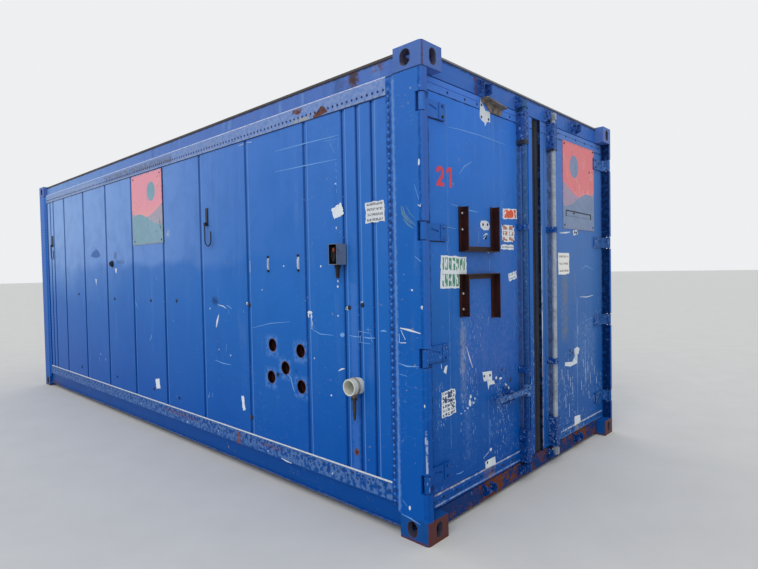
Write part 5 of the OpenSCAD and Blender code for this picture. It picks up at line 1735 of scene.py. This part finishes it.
    def labels(self) -> None:
        """The stuck labels, plain bars in place of words."""
        left, right = self.left, self.right
        white = srgb(226, 232, 236)
        green = Label("green_sign_print", white, srgb(16, 128, 92), 2, 7, 0.36, torn=0.15)
        orange = Label("orange_label_print", white, srgb(224, 96, 62), blotch=0.6, torn=0.1)
        plate = Label("row_plate_print", white, srgb(176, 104, 74), 3, 2, 0.34, torn=0.15)
        slim = Label("slim_label_print", white, rows=1, marks=16, thick=0.14)
        tilted = Label("tilted_label_print", white, srgb(120, 140, 170), 2, 5)
        printed = Label("printed_leaf_print", white, srgb(36, 60, 104), 6, 5, 0.3, 0.3, 0.2)
        cream = Label("right_label_print", srgb(240, 240, 236), srgb(120, 96, 84), 3, 9, 0.12, torn=0.15)
        left.label("green_sign", (-885, 1331), (236, 172), green, -1.5, 11)
        left.label("orange_label", (-288, 1676), (168, 62), orange, 2.0, 12)
        left.label("row_plate", (-312, 1557), (146, 100), plate, 0.0, 13)
        left.label("slim_label", (-324, 1474), (150, 30), slim, 0.0, 14)
        left.label("tilted_label", (-265, 1298), (98, 46), tilted, 9.0, 15)
        left.label("printed_label", (-949, 645), (122, 134), printed, 2.0, 16)
        right.label("right_label", (468, 1370), (180, 152), cream, 0.0, 17)

    def build(self) -> None:
        """Makes every mark."""
        self.number()
        self.fixings()
        self.bare_patches()
        self.labels()


@dataclass
class BoxInside:
    """What shows inside the open junction box, and the bead inside the drain pipe."""

    finishes: Finishes
    floor_face: float = -1209.1
    rail_face: float = -1211.0
    pipe_middle: Spot = (2548.0, 725.0)
    pipe_face: float = -1200.0
    ring_radii: Spot = (0.0388, 0.033)
    ring_height: float = 0.005

    def block(self, size: Point, bevel: float, x: float, y: float, z: float) -> Piece:
        """A small block in the box.

        Args:
            size: width, height and depth, in metres.
            bevel: width of its bevel, in metres.
            x: middle along the cabin, in mm.
            y: the face that it stands on, in mm.
            z: middle height, in mm.

        Returns:
            The piece, in place.
        """
        made = Bench.block(size, bevel)
        made.data.transform(at(Facing.LEFT, x, y, z))
        return made

    def build(self) -> None:
        """Makes the back plate, the terminals and the pipe's inner ring."""
        f, rail = self.finishes, self.rail_face
        plate = self.block((0.056, 0.102, 0.002), 0.0006, 2441, self.floor_face, 1440)
        keep(plate, "box_back_plate", Body.CABIN, f.black)
        bar = self.block((0.026, 0.086, 0.046), 0.004, 2427, rail, 1438)
        keep(bar, "box_terminal_rail", Body.CABIN, f.black)
        lamp = self.block((0.012, 0.022, 0.054), 0.003, 2434, rail, 1464)
        keep(lamp, "box_terminal", Body.CABIN, f.red_lamp)
        clip = self.block((0.012, 0.016, 0.053), 0.003, 2431, rail, 1410)
        wire = self.block((0.005, 0.044, 0.052), 0.002, 2420, rail, 1440)
        keep(Bench.join((clip, wire)), "box_terminal_clips", Body.CABIN, f.iron)
        ring = Bench.ring(*self.ring_radii, self.ring_height)
        ring.data.transform(at(Facing.LEFT, self.pipe_middle[0], self.pipe_face, self.pipe_middle[1]))
        keep(ring, "pipe_inner_ring", Body.CABIN, f.pipe)


@dataclass
class Studio:
    """Camera at the photograph's viewing angle, pale floor and soft light."""

    azimuth: float = 43.109
    elevation: float = 1.574
    roll: float = -1.063
    focal_pixels: float = 535.87
    picture_width: float = 758.0
    place: Point = (4.6153, -3.2324, 1.3510)
    sensor: float = 36.0
    clip: Spot = (0.05, 200.0)
    floor_size: float = 240.0
    floor_dark: Colour = (0.60, 0.60, 0.59)
    floor_light: Colour = (0.63, 0.63, 0.62)
    floor_rough: float = 0.9
    glow: Colour = (0.96, 0.98, 1.0)
    glow_strength: float = 0.86
    backdrop: Colour = (0.90, 0.91, 0.93)
    backdrop_strength: float = 0.95
    sun_energy: float = 0.75
    sun_spread: float = 35.0
    sun_colour: Colour = (1.0, 0.98, 0.95)
    sun_turn: Point = (48.0, -8.0, 26.0)

    def camera(self) -> None:
        """Adds the camera."""
        a, e, r = (math.radians(v) for v in (self.azimuth, self.elevation, self.roll))
        back = Vector((math.sin(a) * math.cos(e), -math.cos(a) * math.cos(e), math.sin(e)))
        level = Vector((math.cos(a), math.sin(a), 0))
        over = back.cross(level)
        right = math.cos(r) * level + math.sin(r) * over
        up = -math.sin(r) * level + math.cos(r) * over
        data = bpy.data.cameras.new("camera")
        data.sensor_width = self.sensor
        data.lens = self.focal_pixels / self.picture_width * self.sensor
        data.clip_start, data.clip_end = self.clip
        camera = bpy.data.objects.new("camera", data)
        camera.matrix_world = Matrix.Translation(self.place) @ Matrix((right, up, back)).transposed().to_4x4()
        bpy.context.scene.collection.objects.link(camera)
        bpy.context.scene.camera = camera

    def floor(self) -> None:
        """Adds the floor."""
        Bench.clear()
        bpy.ops.mesh.primitive_plane_add(size=self.floor_size, location=(0, 0, 0))
        floor = bpy.context.object
        floor.name = "studio_floor"
        g = Graph("studio_floor")
        shade = g.ramp(g.noise(g.place(), 3.0, 4), [(0.3, self.floor_dark), (0.7, self.floor_light)])
        inputs = {"Base Color": shade, "Roughness": self.floor_rough, "Specular IOR Level": 0.1}
        floor.data.materials.append(g.surface(inputs))

    def light(self) -> None:
        """Adds the soft surroundings and one broad lamp."""
        world = bpy.data.worlds.new("studio")
        bpy.context.scene.world = world
        world.use_nodes = True
        g = Nodes(world.node_tree)
        rays = g.node("ShaderNodeLightPath", {}, {})
        camera, clear, glossy = (
            Signal(g, rays.outputs[f"Is {kind} Ray"]) for kind in ("Camera", "Transmission", "Glossy"))
        seen = g.math("MAXIMUM", g.math("MAXIMUM", camera, clear), glossy)
        glow = g.node("ShaderNodeBackground", {}, {0: self.glow, 1: self.glow_strength})
        backdrop = g.node("ShaderNodeBackground", {}, {0: self.backdrop, 1: self.backdrop_strength})
        pick = g.node("ShaderNodeMixShader", {}, {0: seen, 1: glow.outputs[0], 2: backdrop.outputs[0]})
        g.node("ShaderNodeOutputWorld", {}, {0: pick.outputs[0]})
        lamp = bpy.data.lights.new("key", "SUN")
        lamp.energy, lamp.angle, lamp.color = self.sun_energy, math.radians(self.sun_spread), self.sun_colour
        key = bpy.data.objects.new("key", lamp)
        key.rotation_euler = tuple(math.radians(turn) for turn in self.sun_turn)
        bpy.context.scene.collection.objects.link(key)

    def build(self) -> None:
        """Sets up the whole studio."""
        self.camera()
        self.floor()
        self.light()
        bpy.context.scene.view_settings.view_transform = "Standard"


def main() -> None:
    """Builds and dresses the cabin and its studio."""
    logging.basicConfig(level=logging.INFO, format="%(message)s")
    Studio().build()
    finishes = Finishes()
    Dressing(finishes).dress()
    Rivets(finishes).build()
    WallMarks(finishes).build()
    DoorMarks(finishes).build()
    BoxInside(finishes).build()
    bpy.context.view_layer.update()


if __name__ == "__main__":
    main()
